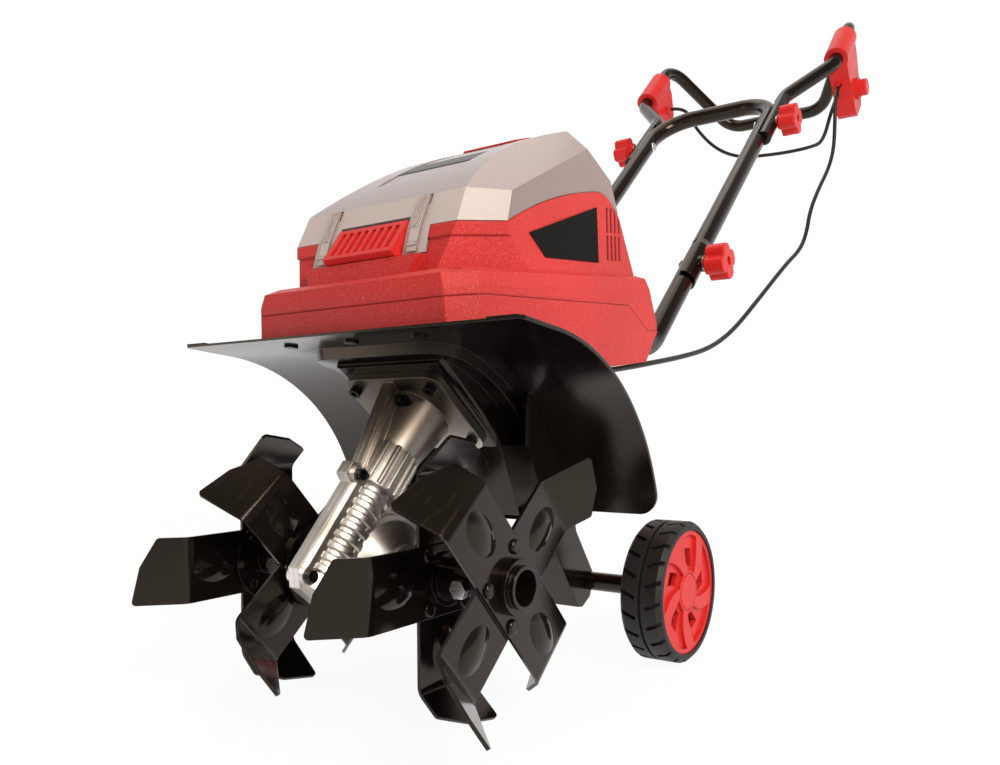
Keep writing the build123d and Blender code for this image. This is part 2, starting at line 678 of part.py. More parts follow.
bearings = []
seals = []
for sign in (1, -1):
    mid = seat_in + BEARING_W / 2
    turned = Rot(0, 90, 0)
    bearings.append(Pos(sign * mid, 0, 0) * turned * ring(BEARING_R, SHAFT_R + 0.05, BEARING_W))
    seal_w = BEARING_W - 2
    mid = BOSS_HALF - seal_w / 2
    seals.append(Pos(sign * mid, 0, 0) * turned * ring(BEARING_R, SHAFT_R + 0.06, seal_w))
worm_ring = ring(WORM_BEARING_R, WORM_SHAFT_R + 0.05, WORM_BEARING_W)
bearings.append(along * Pos(0, 0, worm_low + WORM_BEARING_W / 2 + 0.1) * worm_ring)
bearings.append(along * Pos(0, 0, neck_in + WORM_BEARING_W / 2) * worm_ring)
MOTOR_END_U = MOTOR_U + MOTOR_L
rear_ring = ring(WORM_BEARING_R, ROTOR_SHAFT_R + 0.05, 8)
bearings.append(along * Pos(0, 0, MOTOR_END_U - 8) * rear_ring)
save(Compound(bearings), "gearbox_bearings")
save(Compound(seals), "shaft_seals")

# Motor
can = gear_plate(FLANGE_HALF_W - 1, FLANGE_HALF_V - 1, 12, MOTOR_U, flange_top, WORM_V)
can = can + gear_rod(MOTOR_R, flange_top - 1, MOTOR_END_U, WORM_V, 0)
can = can - gear_rod(MOTOR_R - WALL, flange_top, MOTOR_END_U - WALL, WORM_V, 0)
can = can - gear_rod(WORM_SHAFT_R + 2, MOTOR_U - 1, flange_top + 1, WORM_V, 0)
seat = gear_rod(WORM_BEARING_R + 4, MOTOR_END_U - 12, MOTOR_END_U, WORM_V, 0)
can = can + (seat - gear_rod(WORM_BEARING_R + 0.05, MOTOR_END_U - 13, MOTOR_END_U - 3.9, WORM_V, 0))
magnet = gear_rod(MOTOR_R - WALL, flange_top + 8, MOTOR_END_U - 22, WORM_V, 0)
can = can + (magnet - gear_rod(ARMATURE_R + 2, flange_top, MOTOR_END_U, WORM_V, 0))
for v, w in flange_spots:
    can = can - gear_rod(SCREW_R + 0.6, MOTOR_U - 1, flange_top + 1, v, w)
for index in range(6):
    vent = Box(7, 14, 7)
    spot = along * Rot(0, 0, 60 * index + 30) * Pos(MOTOR_R - 2, 0, MOTOR_END_U - 14)
    can = can - spot * vent
save(can, "motor_can")

rotor = gear_rod(ROTOR_SHAFT_R, MOTOR_U, MOTOR_END_U - 4.5, WORM_V, 0)
rotor = rotor + gear_rod(ARMATURE_R, flange_top + 10, MOTOR_END_U - 34, WORM_V, 0)
rotor = rotor + gear_rod(ARMATURE_R - 10, MOTOR_END_U - 34, MOTOR_END_U - 18, WORM_V, 0)
for index in range(12):
    notch = Box(5, 2.2, 2 * MOTOR_L)
    rotor = rotor - (along * Rot(0, 0, 30 * index) * Pos(ARMATURE_R, 0, MOTOR_U) * notch)
save(rotor, "motor_rotor")


# Guard
def guard_points(inset):
    """Corner points of the guard's side profile, moved inwards."""
    lean = radians(GUARD_TILT)
    end = radians(GUARD_TILT + GUARD_SWEEP)
    half = radians(GUARD_TILT + GUARD_SWEEP / 2)
    front = Vector(GUARD_FRONT_Y, GUARD_FRONT_Z) - Vector(sin(lean), cos(lean)) * inset
    first = front + Vector(cos(lean), -sin(lean)) * GUARD_FLAT
    centre = first - Vector(sin(lean), cos(lean)) * (GUARD_R - inset)
    middle = centre + Vector(sin(half), cos(half)) * (GUARD_R - inset)
    second = centre + Vector(sin(end), cos(end)) * (GUARD_R - inset)
    last = second + Vector(cos(end), -sin(end)) * GUARD_DROP
    return front, first, middle, second, last


def guard_band(outer, inner):
    """Face between two inset guard profiles."""
    a = guard_points(outer)
    b = guard_points(inner)
    return make_face([Line(a[0], a[1]), ThreePointArc(a[1], a[2], a[3]), Line(a[3], a[4]), Line(a[4], b[4]),
                      Line(b[4], b[3]), ThreePointArc(b[3], b[2], b[1]), Line(b[1], b[0]), Line(b[0], a[0])])


def guard_solid(outer, inner, x0, x1):
    """Guard band across the machine from x0 to x1."""
    return extrude(Plane.YZ.offset(x0) * guard_band(outer, inner), amount=x1 - x0, dir=(1, 0, 0))


def under_guard(inset, x0, x1):
    """Everything below the guard's inset surface, carried on beyond both edges."""
    a = guard_points(inset)
    reach = 400
    lean = radians(GUARD_TILT)
    end = radians(GUARD_TILT + GUARD_SWEEP)
    head = a[0] - Vector(cos(lean), -sin(lean)) * reach
    tail = a[4] + Vector(cos(end), -sin(end)) * reach
    face = make_face([Line(head, a[1]), ThreePointArc(a[1], a[2], a[3]), Line(a[3], tail),
                      Line(tail, (head.X, tail.Y)), Line((head.X, tail.Y), head)])
    return extrude(Plane.YZ.offset(x0) * face, amount=x1 - x0, dir=(1, 0, 0))


def from_gear(u, v):
    """Y and Z of a point in the gear case frame."""
    lean = radians(GEAR_LEAN)
    return Vector(u * cos(lean) - v * sin(lean), u * sin(lean) + v * cos(lean))


def pocket_region(drop, half_w, front_shift, corner):
    """Space above the pocket floor, lowered by drop."""
    high = 400
    end_point = guard_points(POCKET_END_DEPTH)[4]
    rear = from_gear(POCKET_U + GUARD_T - drop, POCKET_REAR_V)
    front = from_gear(POCKET_U + GUARD_T - drop, POCKET_FRONT_V + front_shift)
    away = (end_point - from_gear(POCKET_U + GUARD_T, POCKET_REAR_V)).normalized()
    out = Vector(-away.Y, away.X)
    low = end_point - out * drop + away * 20
    top = front + (from_gear(1, 0)) * high
    points = [(front.X, front.Y), (rear.X, rear.Y), (low.X, low.Y), (low.X + high, low.Y),
              (top.X + high, top.Y),
              (top.X, top.Y)]
    region = side_prism(points, -half_w, half_w)
    floor_edges = []
    for edge in region.edges():
        middle = edge.center()
        if abs(abs(middle.X) - half_w) < 0.01 and middle.Y < rear.X + 1:
            floor_edges.append(edge)
    return fillet(floor_edges, corner)


def plan_block(half, front_y, corner):
    """Upright block with rounded front corners that runs on to the rear."""
    block = extrude(RectangleRounded(2 * half, PLAN_L, corner), amount=PLAN_L / 2, both=True)
    return Pos(0, front_y + PLAN_L / 2, 0) * block


end_line = guard_points(0)[4]
end_dir = radians(GUARD_TILT + GUARD_SWEEP)
trim_plane = Plane(origin=(0, end_line.X, end_line.Y), z_dir=(0, cos(end_dir), -sin(end_dir)))
guard = guard_solid(0, GUARD_T, -GUARD_HALF_W, GUARD_HALF_W)
lip = guard_solid(-SIDE_LIP_H, GUARD_T, SIDE_LIP_X, GUARD_HALF_W)
lip = lip - guard_solid(GUARD_T - SIDE_LIP_H + 0.1, GUARD_T + 5, SIDE_LIP_X + GUARD_T, GUARD_HALF_W + 1)
guard = guard + both(lip)
channel_low = CHANNEL_DEPTH + GUARD_T
channel_outer = guard_solid(0, channel_low, -CHANNEL_HALF_W, CHANNEL_HALF_W)
channel_outer = channel_outer & plan_block(CHANNEL_HALF_W, CHANNEL_FRONT_Y - GUARD_T, CHANNEL_CORNER_R)
channel_in_w = CHANNEL_HALF_W - GUARD_T
channel_inner = guard_solid(-40, CHANNEL_DEPTH, -channel_in_w, channel_in_w)
channel_inner = channel_inner & plan_block(channel_in_w, CHANNEL_FRONT_Y, CHANNEL_CORNER_R - GUARD_T)
pocket_outer = pocket_region(GUARD_T, POCKET_HALF_W, GUARD_T, POCKET_CORNER_R)
pocket_outer = pocket_outer & under_guard(0, -GUARD_HALF_W, GUARD_HALF_W)
pocket_outer = split(pocket_outer, bisect_by=trim_plane, keep=Keep.BOTTOM)
pocket_inner = pocket_region(0, POCKET_HALF_W - GUARD_T, 0, POCKET_CORNER_R - GUARD_T)
guard = guard + channel_outer + pocket_outer - channel_inner - pocket_inner
guard = guard & plan_block(GUARD_HALF_W, guard_points(0)[0].X, GUARD_FRONT_CORNER_R)
rear_face = Plane(origin=(0, end_line.X, end_line.Y), x_dir=(1, 0, 0), z_dir=(0, sin(end_dir), cos(end_dir)))
rear_plan = extrude(RectangleRounded(2 * GUARD_HALF_W, PLAN_L, GUARD_REAR_CORNER_R), amount=PLAN_L / 2,
                    both=True)
guard = guard & (rear_face.location * Pos(0, -PLAN_L / 2, 0) * rear_plan)
guard = guard - gear_rod(WORM_SHAFT_R + 4, POCKET_U - 4, MOTOR_U + 4, WORM_V, 0)
for v, w in flange_spots:
    guard = guard - gear_rod(SCREW_R + 0.6, POCKET_U - 4, MOTOR_U + 4, v, w)

# Screws that hold the guard to the housing and the wheel bracket to the guard
flat_dir = radians(GUARD_TILT)
front_normal = (0, sin(flat_dir), cos(flat_dir))
screw_origin = guard_points(0)[0] + Vector(cos(flat_dir), -sin(flat_dir)) * FRONT_SCREW_S
front_spots = []
for x in FRONT_SCREWS_X:
    spot = Plane(origin=(x, screw_origin.X, screw_origin.Y), z_dir=front_normal).location
    front_spots.append(spot)
    guard = guard - spot * Cylinder(SCREW_R + 0.6, 12)
    pin = Pos(0, 0, 3) * Cylinder(SCREW_R + 0.5, 14)
    head = Pos(0, 0, -GUARD_T - 1) * Cylinder(6, 2)
    screws.append(spot * (pin + head))
leg_angle = radians(LEG_BOLT_TURN)
guard_centre = guard_points(GUARD_R)[2]
leg_spots = []
for sign in (1, -1):
    y = guard_centre.X + GUARD_R * cos(leg_angle)
    z = guard_centre.Y + GUARD_R * sin(leg_angle)
    spot = Plane(origin=(sign * LEG_BOLT_X, y, z), z_dir=(0, cos(leg_angle), sin(leg_angle))).location
    leg_spots.append(spot)
    guard = guard - spot * extrude(SlotOverall(16, 2 * SCREW_R + 2), amount=6, both=True)
    pin = Pos(0, 0, -3) * Cylinder(SCREW_R, 14)
    head = Pos(0, 0, 2) * Cylinder(6.5, 4)
    nut = Pos(0, 0, -10) * extrude(RegularPolygon(5.5, 6), amount=4)
    screws.append(spot * (pin + head + nut))
save(guard, "tine_guard")
save(Compound(screws), "chassis_screws")


# Wheel bracket
def leg_band():
    """One leg of the bracket on the right: side plate, front plate and top flange."""
    outer = [(y + WHEEL_Y, z + WHEEL_Z) for y, z in LEG_OUTLINE]
    plate = side_prism(outer, BRACKET_X - BRACKET_T, BRACKET_X)
    t = BRACKET_T
    knee, foot, shoulder = outer[7], outer[6], outer[8]
    front = [shoulder, knee, foot, (foot[0] + t, foot[1] + t * 0.5), (knee[0] + t, knee[1] + t * 0.4),
             (shoulder[0] + t, shoulder[1] + t * 0.3)]
    web = side_prism(front, POCKET_HALF_W + 1, BRACKET_X)
    inside = under_guard(GUARD_T + SEAT_GAP, 0, GUARD_HALF_W)
    clear_z = end_line.Y - 4
    inside = inside + Pos(GUARD_HALF_W / 2, 0, clear_z - PLAN_L / 2) * Box(GUARD_HALF_W, PLAN_L, PLAN_L)
    flange = guard_solid(GUARD_T + SEAT_GAP, GUARD_T + SEAT_GAP + t, BRACKET_X - LEG_FLANGE_W, BRACKET_X)
    window = Pos(0, 0, LEG_FLANGE_Z + PLAN_L / 2) * Box(PLAN_L, PLAN_L, PLAN_L)
    window = window & Pos(0, LEG_FLANGE_Y + PLAN_L / 2, 0) * Box(PLAN_L, PLAN_L, PLAN_L)
    leg = (plate + web) & inside
    leg = leg - guard_solid(GUARD_T - 1, channel_low + SEAT_GAP, 0, CHANNEL_HALF_W + SEAT_GAP)
    return leg + (flange & window)


leg = leg_band()
for spot in leg_spots:
    leg = leg - spot * Cylinder(SCREW_R + 0.2, 30)
leg = leg - rod(AXLE_R + PRESS_GAP, 0, 150, WHEEL_Y, WHEEL_Z)
cross = Pos(0, CROSS_Y, CROSS_Z) * Box(2 * BRACKET_X - 2, CROSS_W, CROSS_T)
save(both(leg) + cross, "wheel_bracket")

spacer_in = BRACKET_X + 0.5
WHEEL_IN_X = WHEEL_OUT_X - WHEEL_W
axle = rod(AXLE_R, -WHEEL_OUT_X + 6, WHEEL_OUT_X - 6, WHEEL_Y, WHEEL_Z)
for sign in (1, -1):
    axle = axle + rod(AXLE_R + 3, sign * spacer_in, sign * (WHEEL_IN_X + 1.5), WHEEL_Y, WHEEL_Z)
save(axle, "wheel_axle")

# Wheels
wheel_mid = WHEEL_OUT_X - WHEEL_W / 2
at_wheel = Pos(wheel_mid, WHEEL_Y, WHEEL_Z) * Rot(0, 90, 0)
half_w = WHEEL_W / 2
tyre = Cylinder(TYRE_R, WHEEL_W) - Cylinder(RIM_R, WHEEL_W + 1)
tyre = chamfer(tyre.edges().filter_by(GeomType.CIRCLE).sort_by(SortBy.RADIUS)[-2:], 4)
lug_w = 2 * pi * TYRE_R / TREAD_LUGS
for index in range(TREAD_LUGS):
    for side in (1, -1):
        turn = 360 * (index + (0.25 if side > 0 else 0.75)) / TREAD_LUGS
        cutter = Rot(0, 0, turn) * Pos(TYRE_R, 0, side * half_w * 0.62)
        cutter = cutter * Rot(side * TREAD_SLANT, 0, 0) * Box(2 * TREAD_DEPTH, lug_w * TREAD_GAP,
                                        half_w * 0.86)
        tyre = tyre - cutter
tyre = tyre - (Cylinder(TYRE_R + 1, 2.6) - Cylinder(TYRE_R - TREAD_DEPTH * 0.7, 4))


def swirl(r0, r1, start, width0, width1, lead):
    """Swept quadrilateral between two radii; the outer edge is turned ahead by lead degrees."""
    points = []
    for step in range(RIM_STEPS + 1):
        part = step / RIM_STEPS
        points.append((r0 + (r1 - r0) * part, start + lead * part))
    for step in range(RIM_STEPS + 1):
        part = 1 - step / RIM_STEPS
        points.append((r0 + (r1 - r0) * part, start + lead * part + width0 + (width1 - width0) * part))
    return Polygon(*[(r * cos(radians(a)), r * sin(radians(a))) for r, a in points], align=None)


rim_r = RIM_R - PRESS_GAP
rim_l = WHEEL_W - 3
web_top = half_w - RIM_DISH
rim = Cylinder(rim_r, rim_l) - Cylinder(rim_r - RIM_WALL, WHEEL_W)
rim = rim + Pos(0, 0, web_top - RIM_WEB_T / 2) * Cylinder(rim_r - 2, RIM_WEB_T) + Cylinder(HUB_CAP_R + 3,
                                        rim_l)
for index in range(RIM_VANES):
    turn = 360 * index / RIM_VANES
    window = swirl(WINDOW_IN, WINDOW_OUT, turn, WINDOW_SPAN, WINDOW_SPAN * 0.7, VANE_LEAD * 0.4)
    rim = rim - Pos(0, 0, web_top - RIM_WEB_T - 1) * extrude(window, amount=RIM_WEB_T + 2, dir=(0, 0, 1))
    vane = swirl(HUB_CAP_R + 2, rim_r - 2, turn + WINDOW_SPAN + 4, VANE_SPAN, VANE_SPAN * 0.6, VANE_LEAD)
    rim = rim + Pos(0, 0, web_top - 1) * extrude(vane, amount=VANE_H + 1, dir=(0, 0, 1))
rim = rim - (Pos(0, 0, half_w - 6) * Cylinder(HUB_CAP_R - 2, 14)) - Cylinder(RIM_BORE_R, WHEEL_W + 2)
cap = Pos(0, 0, half_w - 3) * Cylinder(HUB_CAP_R + 1, 4)
cap = cap + Pos(0, 0, half_w - 7.5) * Cylinder(HUB_CAP_R - 2.1, 6)
cap = chamfer(cap.edges().group_by(Axis.Z)[-1], 1.4)
cap = cap - Pos(0, 0, half_w - 12.5) * Cylinder(AXLE_R + 1.5, 14)
rim = rim - Pos(0, 0, half_w - 3) * Cylinder(HUB_CAP_R + 1.1, 4.2)
for node, shape in (("tyre", tyre), ("wheel_rim", rim), ("hub_cap", cap)):
    right = at_wheel * shape
    save(right, node + "_right")
    save(mirror(right, about=Plane.YZ), node + "_left")


# Housing
def level(z, half, front, rear, front_x, front_y, rear_x, rear_y):
    """Plan outline of the housing at one height, with cut corners."""
    points = [(-half + front_x, front), (half - front_x, front), (half, front + front_y),
              (half, rear - rear_y),
              (half - rear_x, rear), (-half + rear_x, rear), (-half, rear - rear_y), (-half, front + front_y)]
    return Pos(0, 0, z) * Polygon(*points, align=None)


def base_form(inset):
    """Lower body and band of the housing, moved inwards by inset."""
    half = BASE_HALF_W - inset
    front = BASE_FRONT_Y + inset
    rear = BASE_REAR_Y - inset
    step = (PARTING_Z - BASE_FLOOR_Z) / 68
    rows = [level(BASE_FLOOR_Z + inset, half, front, rear - 30, 20, 20, 16, 26),
            level(BASE_FLOOR_Z + 30 * step, half, front, rear, 20, 20, 16, 26),
            level(BASE_FLOOR_Z + 39 * step, half, front, rear, 20, 20, 16, 26),
            level(PARTING_Z + 7, half - BAND_IN, front + BAND_IN, rear - BAND_REAR_IN, 20, 20, 16, 26),
            level(SHELF_Z - 4 - inset * 0.4, half - SHELF_EDGE_IN, front + SHELF_EDGE_IN,
                  rear - SHELF_EDGE_REAR_IN, 21, 22, 18, 28),
            level(SHELF_Z - inset, half - SHELF_IN, front + SHELF_IN, rear - SHELF_REAR_IN, 22, 24, 20, 30)]
    return loft(rows, ruled=True)


def profile_face(a, b):
    """Face across the machine through two points of the side view, a before b along the outside."""
    return (0, a[0], a[1]), (0, a[1] - b[1], b[0] - a[0])


shell_foot = (SHELL_FRONT_Y, SHELF_Z)
shell_rear_top = (SHELL_REAR_Y - SHELL_REAR_LEAN, SHELF_Z + SHELL_REAR_H)
lid_corner = (SHELL_HALF_W, LID_CHEEK_Y, LID_FRONT[1])
lid_side = (SHELL_HALF_W + LID_GAP, LID_CHEEK_Y, LID_FRONT[1])
front_faces = both_faces([
    profile_face(shell_foot, LID_FRONT),
    through((SHELL_FRONT_X, *shell_foot), (LID_FRONT_X, *LID_FRONT), lid_corner)])
shell_faces = front_faces + both_faces([
    through((SHELL_HALF_W, *CHEEK_TOP), (SHELL_HALF_W, *CHEEK_REAR),
            (SHELL_HALF_W - CHEEK_FOOT[0], CHEEK_FOOT[1], SHELF_Z)),
    ((SHELL_HALF_W, 0, SHELF_Z), (1, 0, 0.02)),
    profile_face(shell_rear_top, (SHELL_REAR_Y, SHELF_Z)),
    through((SHELL_HALF_W - 18, SHELL_REAR_Y, SHELF_Z),
            (SHELL_HALF_W, SHELL_REAR_Y - SHELL_CORNER_Y, SHELF_Z),
            (SHELL_HALF_W, SHELL_REAR_Y - SHELL_CORNER_TOP_Y, SHELF_Z + SHELL_REAR_H))])
lid_faces = both_faces([
    profile_face(LID_FRONT, LID_BROW),
    through((LID_FRONT_X, *LID_FRONT), lid_side, (LID_CHEEK_X, *LID_BROW)),
    (lid_side, (1, 0, LID_SIDE_LEAN)),
    through((LID_CHEEK_X, *LID_BROW), LID_TEMPLE, LID_SHOULDER),
    profile_face(LID_PEAK, LID_REAR),
    profile_face(LID_REAR, LID_TAIL),
    ((0, *LID_TAIL), (0, 1, -0.03)),
    through(*LID_REAR_CORNER),
    through(*LID_REAR_SHOULDER)])


def circle_through(a, b, c):
    """Centre and radius of the circle through three points of the side view."""
    bx, by = b[0] - a[0], b[1] - a[1]
    cx, cy = c[0] - a[0], c[1] - a[1]
    turn = 2 * (bx * cy - by * cx)
    ux = (cy * (bx ** 2 + by ** 2) - by * (cx ** 2 + cy ** 2)) / turn
    uy = (bx * (cx ** 2 + cy ** 2) - cx * (bx ** 2 + by ** 2)) / turn
    return a[0] + ux, a[1] + uy, sqrt(ux ** 2 + uy ** 2)


roof_y, roof_z, roof_r = circle_through(LID_BROW, LID_CROWN, LID_PEAK)
lid_box = Pos(0, 160, 350) * Box(400, 500, 300)


def lid_form(inset):
    """Outside form of the lid under its arched roof, moved inwards by inset."""
    return cut_by(lid_box, lid_faces, inset) & rod(roof_r - inset, -300, 300, roof_y, roof_z)


def below_lid(gap):
    """Space below the lid's arched lower edge."""
    middle, top, fall, low, end = [Vector(y, z - gap) for y, z in LID_EDGE]
    start = Vector(LID_CHEEK_Y, LID_FRONT[1] - gap)
    front = Vector(-60, start.Y)
    rear = Vector(420, end.Y)
    face = make_face([Line(front, start), ThreePointArc(start, middle, top), ThreePointArc(top, fall, low),
                      Line(low, end), Line(end, rear), Line(rear, (420, 0)), Line((420, 0), (-60, 0)),
                      Line((-60, 0), front)])
    return extrude(Plane.YZ.offset(-300) * face, amount=600, dir=(1, 0, 0))


parting_line = [(-60, PARTING_Z), (PARTING_FLAT_Y, PARTING_Z), (PARTING_STEP_Y, PARTING_Z - PARTING_FALL),
                (PARTING_STEP_Y + PARTING_STEP_L, PARTING_Z - PARTING_STEP),
                (420, PARTING_Z - PARTING_STEP)]


def below_parting(gap):
    """Space below the line where the two housing shells meet."""
    return side_prism([(-60, -100)] + [(y, z - gap) for y, z in parting_line] + [(420, -100)], -300, 300)


big = Pos(0, 150, 300) * Box(600, 800, 400)
base_out = base_form(0)
base_in = base_form(WALL)
guard_room = under_guard(-SEAT_GAP, -BASE_HALF_W - 5, BASE_HALF_W + 5)
shell_out = cut_by(big & Pos(0, 150, SHELF_Z + 100 - 8) * Box(600, 800, 200), shell_faces, 0) & below_lid(0)
shell_in = cut_by(big & Pos(0, 150, SHELF_Z + 100 - 16) * Box(600, 800, 220), shell_faces, WALL)
shell_in = cut_by(shell_in, front_faces, WALL + PANEL_DEPTH)
panel_room = Pos(0, 0, (SHELF_Z + PANEL_TOP_Z) / 2) * Box(600, 400, PANEL_TOP_Z - SHELF_Z)
panel_room = panel_room - cut_by(big, front_faces, PANEL_DEPTH)
apron = side_prism([APRON_TOP, (APRON_LOW_Y, SHELF_Z - 1), (APRON_REAR_Y, SHELF_Z - 1),
                    (APRON_REAR_Y, APRON_TOP[1])], -APRON_TOP_X, APRON_TOP_X)
apron_view = Polygon((-APRON_TOP_X, APRON_TOP[1]), (APRON_TOP_X, APRON_TOP[1]), (APRON_LOW_X, SHELF_Z - 2),
                     (-APRON_LOW_X, SHELF_Z - 2), align=None)
apron = apron & extrude(Plane.XZ * apron_view, amount=100, both=True)

lower = (base_out - base_in - guard_room) & below_parting(PARTING_GAP / 2)
tube_hole = Pos(HANDLE_X, (LOWER_TUBE_Y + BASE_REAR_Y) / 2 + 40, LOWER_TUBE_Z) * Rot(90, 0, 0)
tube_hole = tube_hole * Cylinder(TUBE_R + 0.3, BASE_REAR_Y - LOWER_TUBE_Y + 20)
lower = lower - both(tube_hole)
for spot in front_spots:
    boss = (spot * Pos(0, 0, 10) * Cylinder(6, 20)) & base_out
    lower = lower + ((boss - guard_room) - spot * Cylinder(SCREW_R + 0.6, 40))
saddle_y = LOWER_TUBE_Y + 30
saddle_low = BASE_FLOOR_Z + WALL
saddle_h = LOWER_TUBE_Z + TUBE_R + 6 - saddle_low
saddle = Pos(HANDLE_X, saddle_y, saddle_low + saddle_h / 2 - 0.5) * Box(2 * TUBE_R + 10, 40, saddle_h)
saddle_bore = Pos(HANDLE_X, saddle_y, LOWER_TUBE_Z) * Rot(90, 0, 0) * Cylinder(TUBE_R + PRESS_GAP, 90)
lower = lower + both(saddle - tube_hole - saddle_bore)
tub = gear_rod(MOTOR_R + 2 + WALL, flange_top + 2, MOTOR_END_U - 20, WORM_V, 0)
tub = tub - Pos(0, 150, BASE_FLOOR_Z + WALL + 200) * Box(400, 800, 400)
tub_room = gear_rod(MOTOR_R + 2, MOTOR_U - 20, MOTOR_END_U + 6, WORM_V, 0)
lower = lower + (tub & below_parting(1)) - tub_room
save(lower, "lower_housing")

above = base_out - below_parting(-PARTING_GAP / 2)
upper = above + (shell_out - panel_room) + apron - base_in - shell_in
grille_low_y, grille_low_z = GRILLE_LOW
grille_top_y, grille_top_z = GRILLE_TOP
mouth_z = grille_low_z - GRILLE_SILL - 0.5


def front_block(x0, x1, z0, z1):
    """Block across the front wall of the housing."""
    return side_prism([(-20, z0), (60, z0), (60, z1), (-20, z1)], x0, x1)


upper = upper - front_block(-GRILLE_HALF_W - 0.3, GRILLE_HALF_W + 0.3, mouth_z, 330)
upper = upper - both(front_block(GRILLE_HALF_W, TAB_END_X + 0.6, TAB_LOW_Z - 0.6, 330))
upper = upper - both(side_prism(LABEL_POINTS, SHELL_HALF_W - 1.6, SHELL_HALF_W + 5))
for index in range(VENT_SLOTS):
    y = VENT_Y + index * VENT_STEP
    for z0, z1 in ((VENT_LOW_Z, VENT_BAR_Z), (VENT_BAR_Z + VENT_BAR_H, VENT_TOP_Z)):
        y0 = y + (z0 - VENT_LOW_Z) * VENT_LEAN
        y1 = y + (z1 - VENT_LOW_Z) * VENT_LEAN
        slot = [(y0, z0), (y0 + VENT_W, z0), (y1 + VENT_W, z1), (y1, z1)]
        upper = upper - both(side_prism(slot, SHELL_HALF_W - 12, SHELL_HALF_W + 10))
recess = Pos(RECESS_X, RECESS_Y, SHELF_Z) * Cylinder(RECESS_R, 20)
recess_h = SHELF_Z - PARTING_Z - 4
recess_post = Pos(RECESS_X, RECESS_Y, SHELF_Z - recess_h / 2) * Cylinder(RECESS_R + 2, recess_h)
upper = upper + (both(recess_post) & base_out) - both(recess & base_out)


def rear_wall(z):
    """Middle of the shell's rear wall at one height."""
    return SHELL_REAR_Y - SHELL_REAR_LEAN * (z - SHELF_Z) / SHELL_REAR_H - WALL / 2


hinge_post = side_prism([(LID_HINGE_Y - LID_KNUCKLE_R, LID_HINGE_Z),
                         (LID_HINGE_Y - LID_KNUCKLE_R, LID_HINGE_Z - 12),
                         (rear_wall(LID_HINGE_Z - 30), LID_HINGE_Z - 30),
                         (rear_wall(LID_HINGE_Z - 10), LID_HINGE_Z - 10),
                         (LID_HINGE_Y + LID_KNUCKLE_R, LID_HINGE_Z)], 38, 52)
hinge_post = hinge_post + rod(LID_KNUCKLE_R, 38, 52, LID_HINGE_Y, LID_HINGE_Z)
hinge_post = hinge_post - rod(LID_PIN_R + PRESS_GAP, 30, 60, LID_HINGE_Y, LID_HINGE_Z)
hinge_low = LID_HINGE_Z - LID_KNUCKLE_R - 2
hinge_room = side_prism([(LID_HINGE_Y - 8, hinge_low), (LID_HINGE_Y + 30, hinge_low),
                         (LID_HINGE_Y + 30, hinge_low + 40), (LID_HINGE_Y - 8, hinge_low + 40)],
                        -SHELL_HALF_W - 5, SHELL_HALF_W + 5)
upper = upper - hinge_room + both(hinge_post)
ledge_top = TRAY_Z - TRAY_T / 2 - SEAT_GAP
ledge = side_prism([(40, ledge_top - 2.5), (280, ledge_top - 2.5), (280, ledge_top), (40, ledge_top)],
                   SHELL_HALF_W - 16, BASE_HALF_W)
upper = upper + (both(ledge) & base_out)
save(upper, "upper_housing")
save(both(side_prism(LABEL_POINTS, SHELL_HALF_W - 1.5, SHELL_HALF_W + 0.4)), "label_plates")

grille_pts = [(grille_low_y, grille_low_z), (grille_top_y, grille_top_z),
              (grille_top_y + 6, grille_top_z - 3),
              (grille_low_y + 22, grille_low_z - GRILLE_SILL), (grille_low_y + 4, grille_low_z - GRILLE_SILL)]
grille = side_prism(grille_pts, -GRILLE_HALF_W, GRILLE_HALF_W)
grille_len = sqrt((grille_top_y - grille_low_y) ** 2 + (grille_top_z - grille_low_z) ** 2)
slot_step = 2 * (GRILLE_HALF_W - 4) / GRILLE_SLOTS
grille_tilt = degrees(atan2(grille_top_z - grille_low_z, grille_top_y - grille_low_y))
for index in range(GRILLE_SLOTS):
    x = -GRILLE_HALF_W + 4 + slot_step * (index + 0.5)
    middle = Pos(x, (grille_low_y + grille_top_y) / 2, (grille_low_z + grille_top_z) / 2)
    grille = grille - middle * Rot(grille_tilt, 0, 0) * Box(slot_step * 0.6, grille_len - 9, 14)
save(grille, "front_grille")

tray = Pos(0, TRAY_Y, TRAY_Z) * Box(2 * SHELL_HALF_W, TRAY_L, TRAY_T)
tray = tray & cut_by(cut_by(big, shell_faces, WALL + 0.4), front_faces, WALL + PANEL_DEPTH + 0.4)
pack_x = (BATTERY_GAP + BATTERY_W) / 2
pack_end = BATTERY_Y + BATTERY_L
for sign in (1, -1):
    for rail in (-RAIL_X, RAIL_X):
        rail_z = TRAY_Z + TRAY_T / 2 + RAIL_H / 2
        tray = tray + Pos(sign * pack_x + rail, pack_end - RAIL_L / 2 - 12, rail_z) * Box(6, RAIL_L, RAIL_H)
    tray = tray + Pos(sign * pack_x, pack_end + 14, TRAY_Z + DOCK_H / 2 + 1.5) * Box(60, 14, DOCK_H)
save(tray, "battery_tray")
board = Pos(0, BOARD_Y, saddle_low + BOARD_H / 2) * Box(BOARD_W, BOARD_L, BOARD_H)
board = chamfer(board.edges().filter_by(Axis.Z), 4)
for index in range(BOARD_FINS):
    fin_y = BOARD_Y - BOARD_L * 0.4 + index * BOARD_L * 0.1
    board = board - Pos(0, fin_y, saddle_low + BOARD_H) * Box(BOARD_W - 20, 2.6, 14)
save(board, "controller_unit")

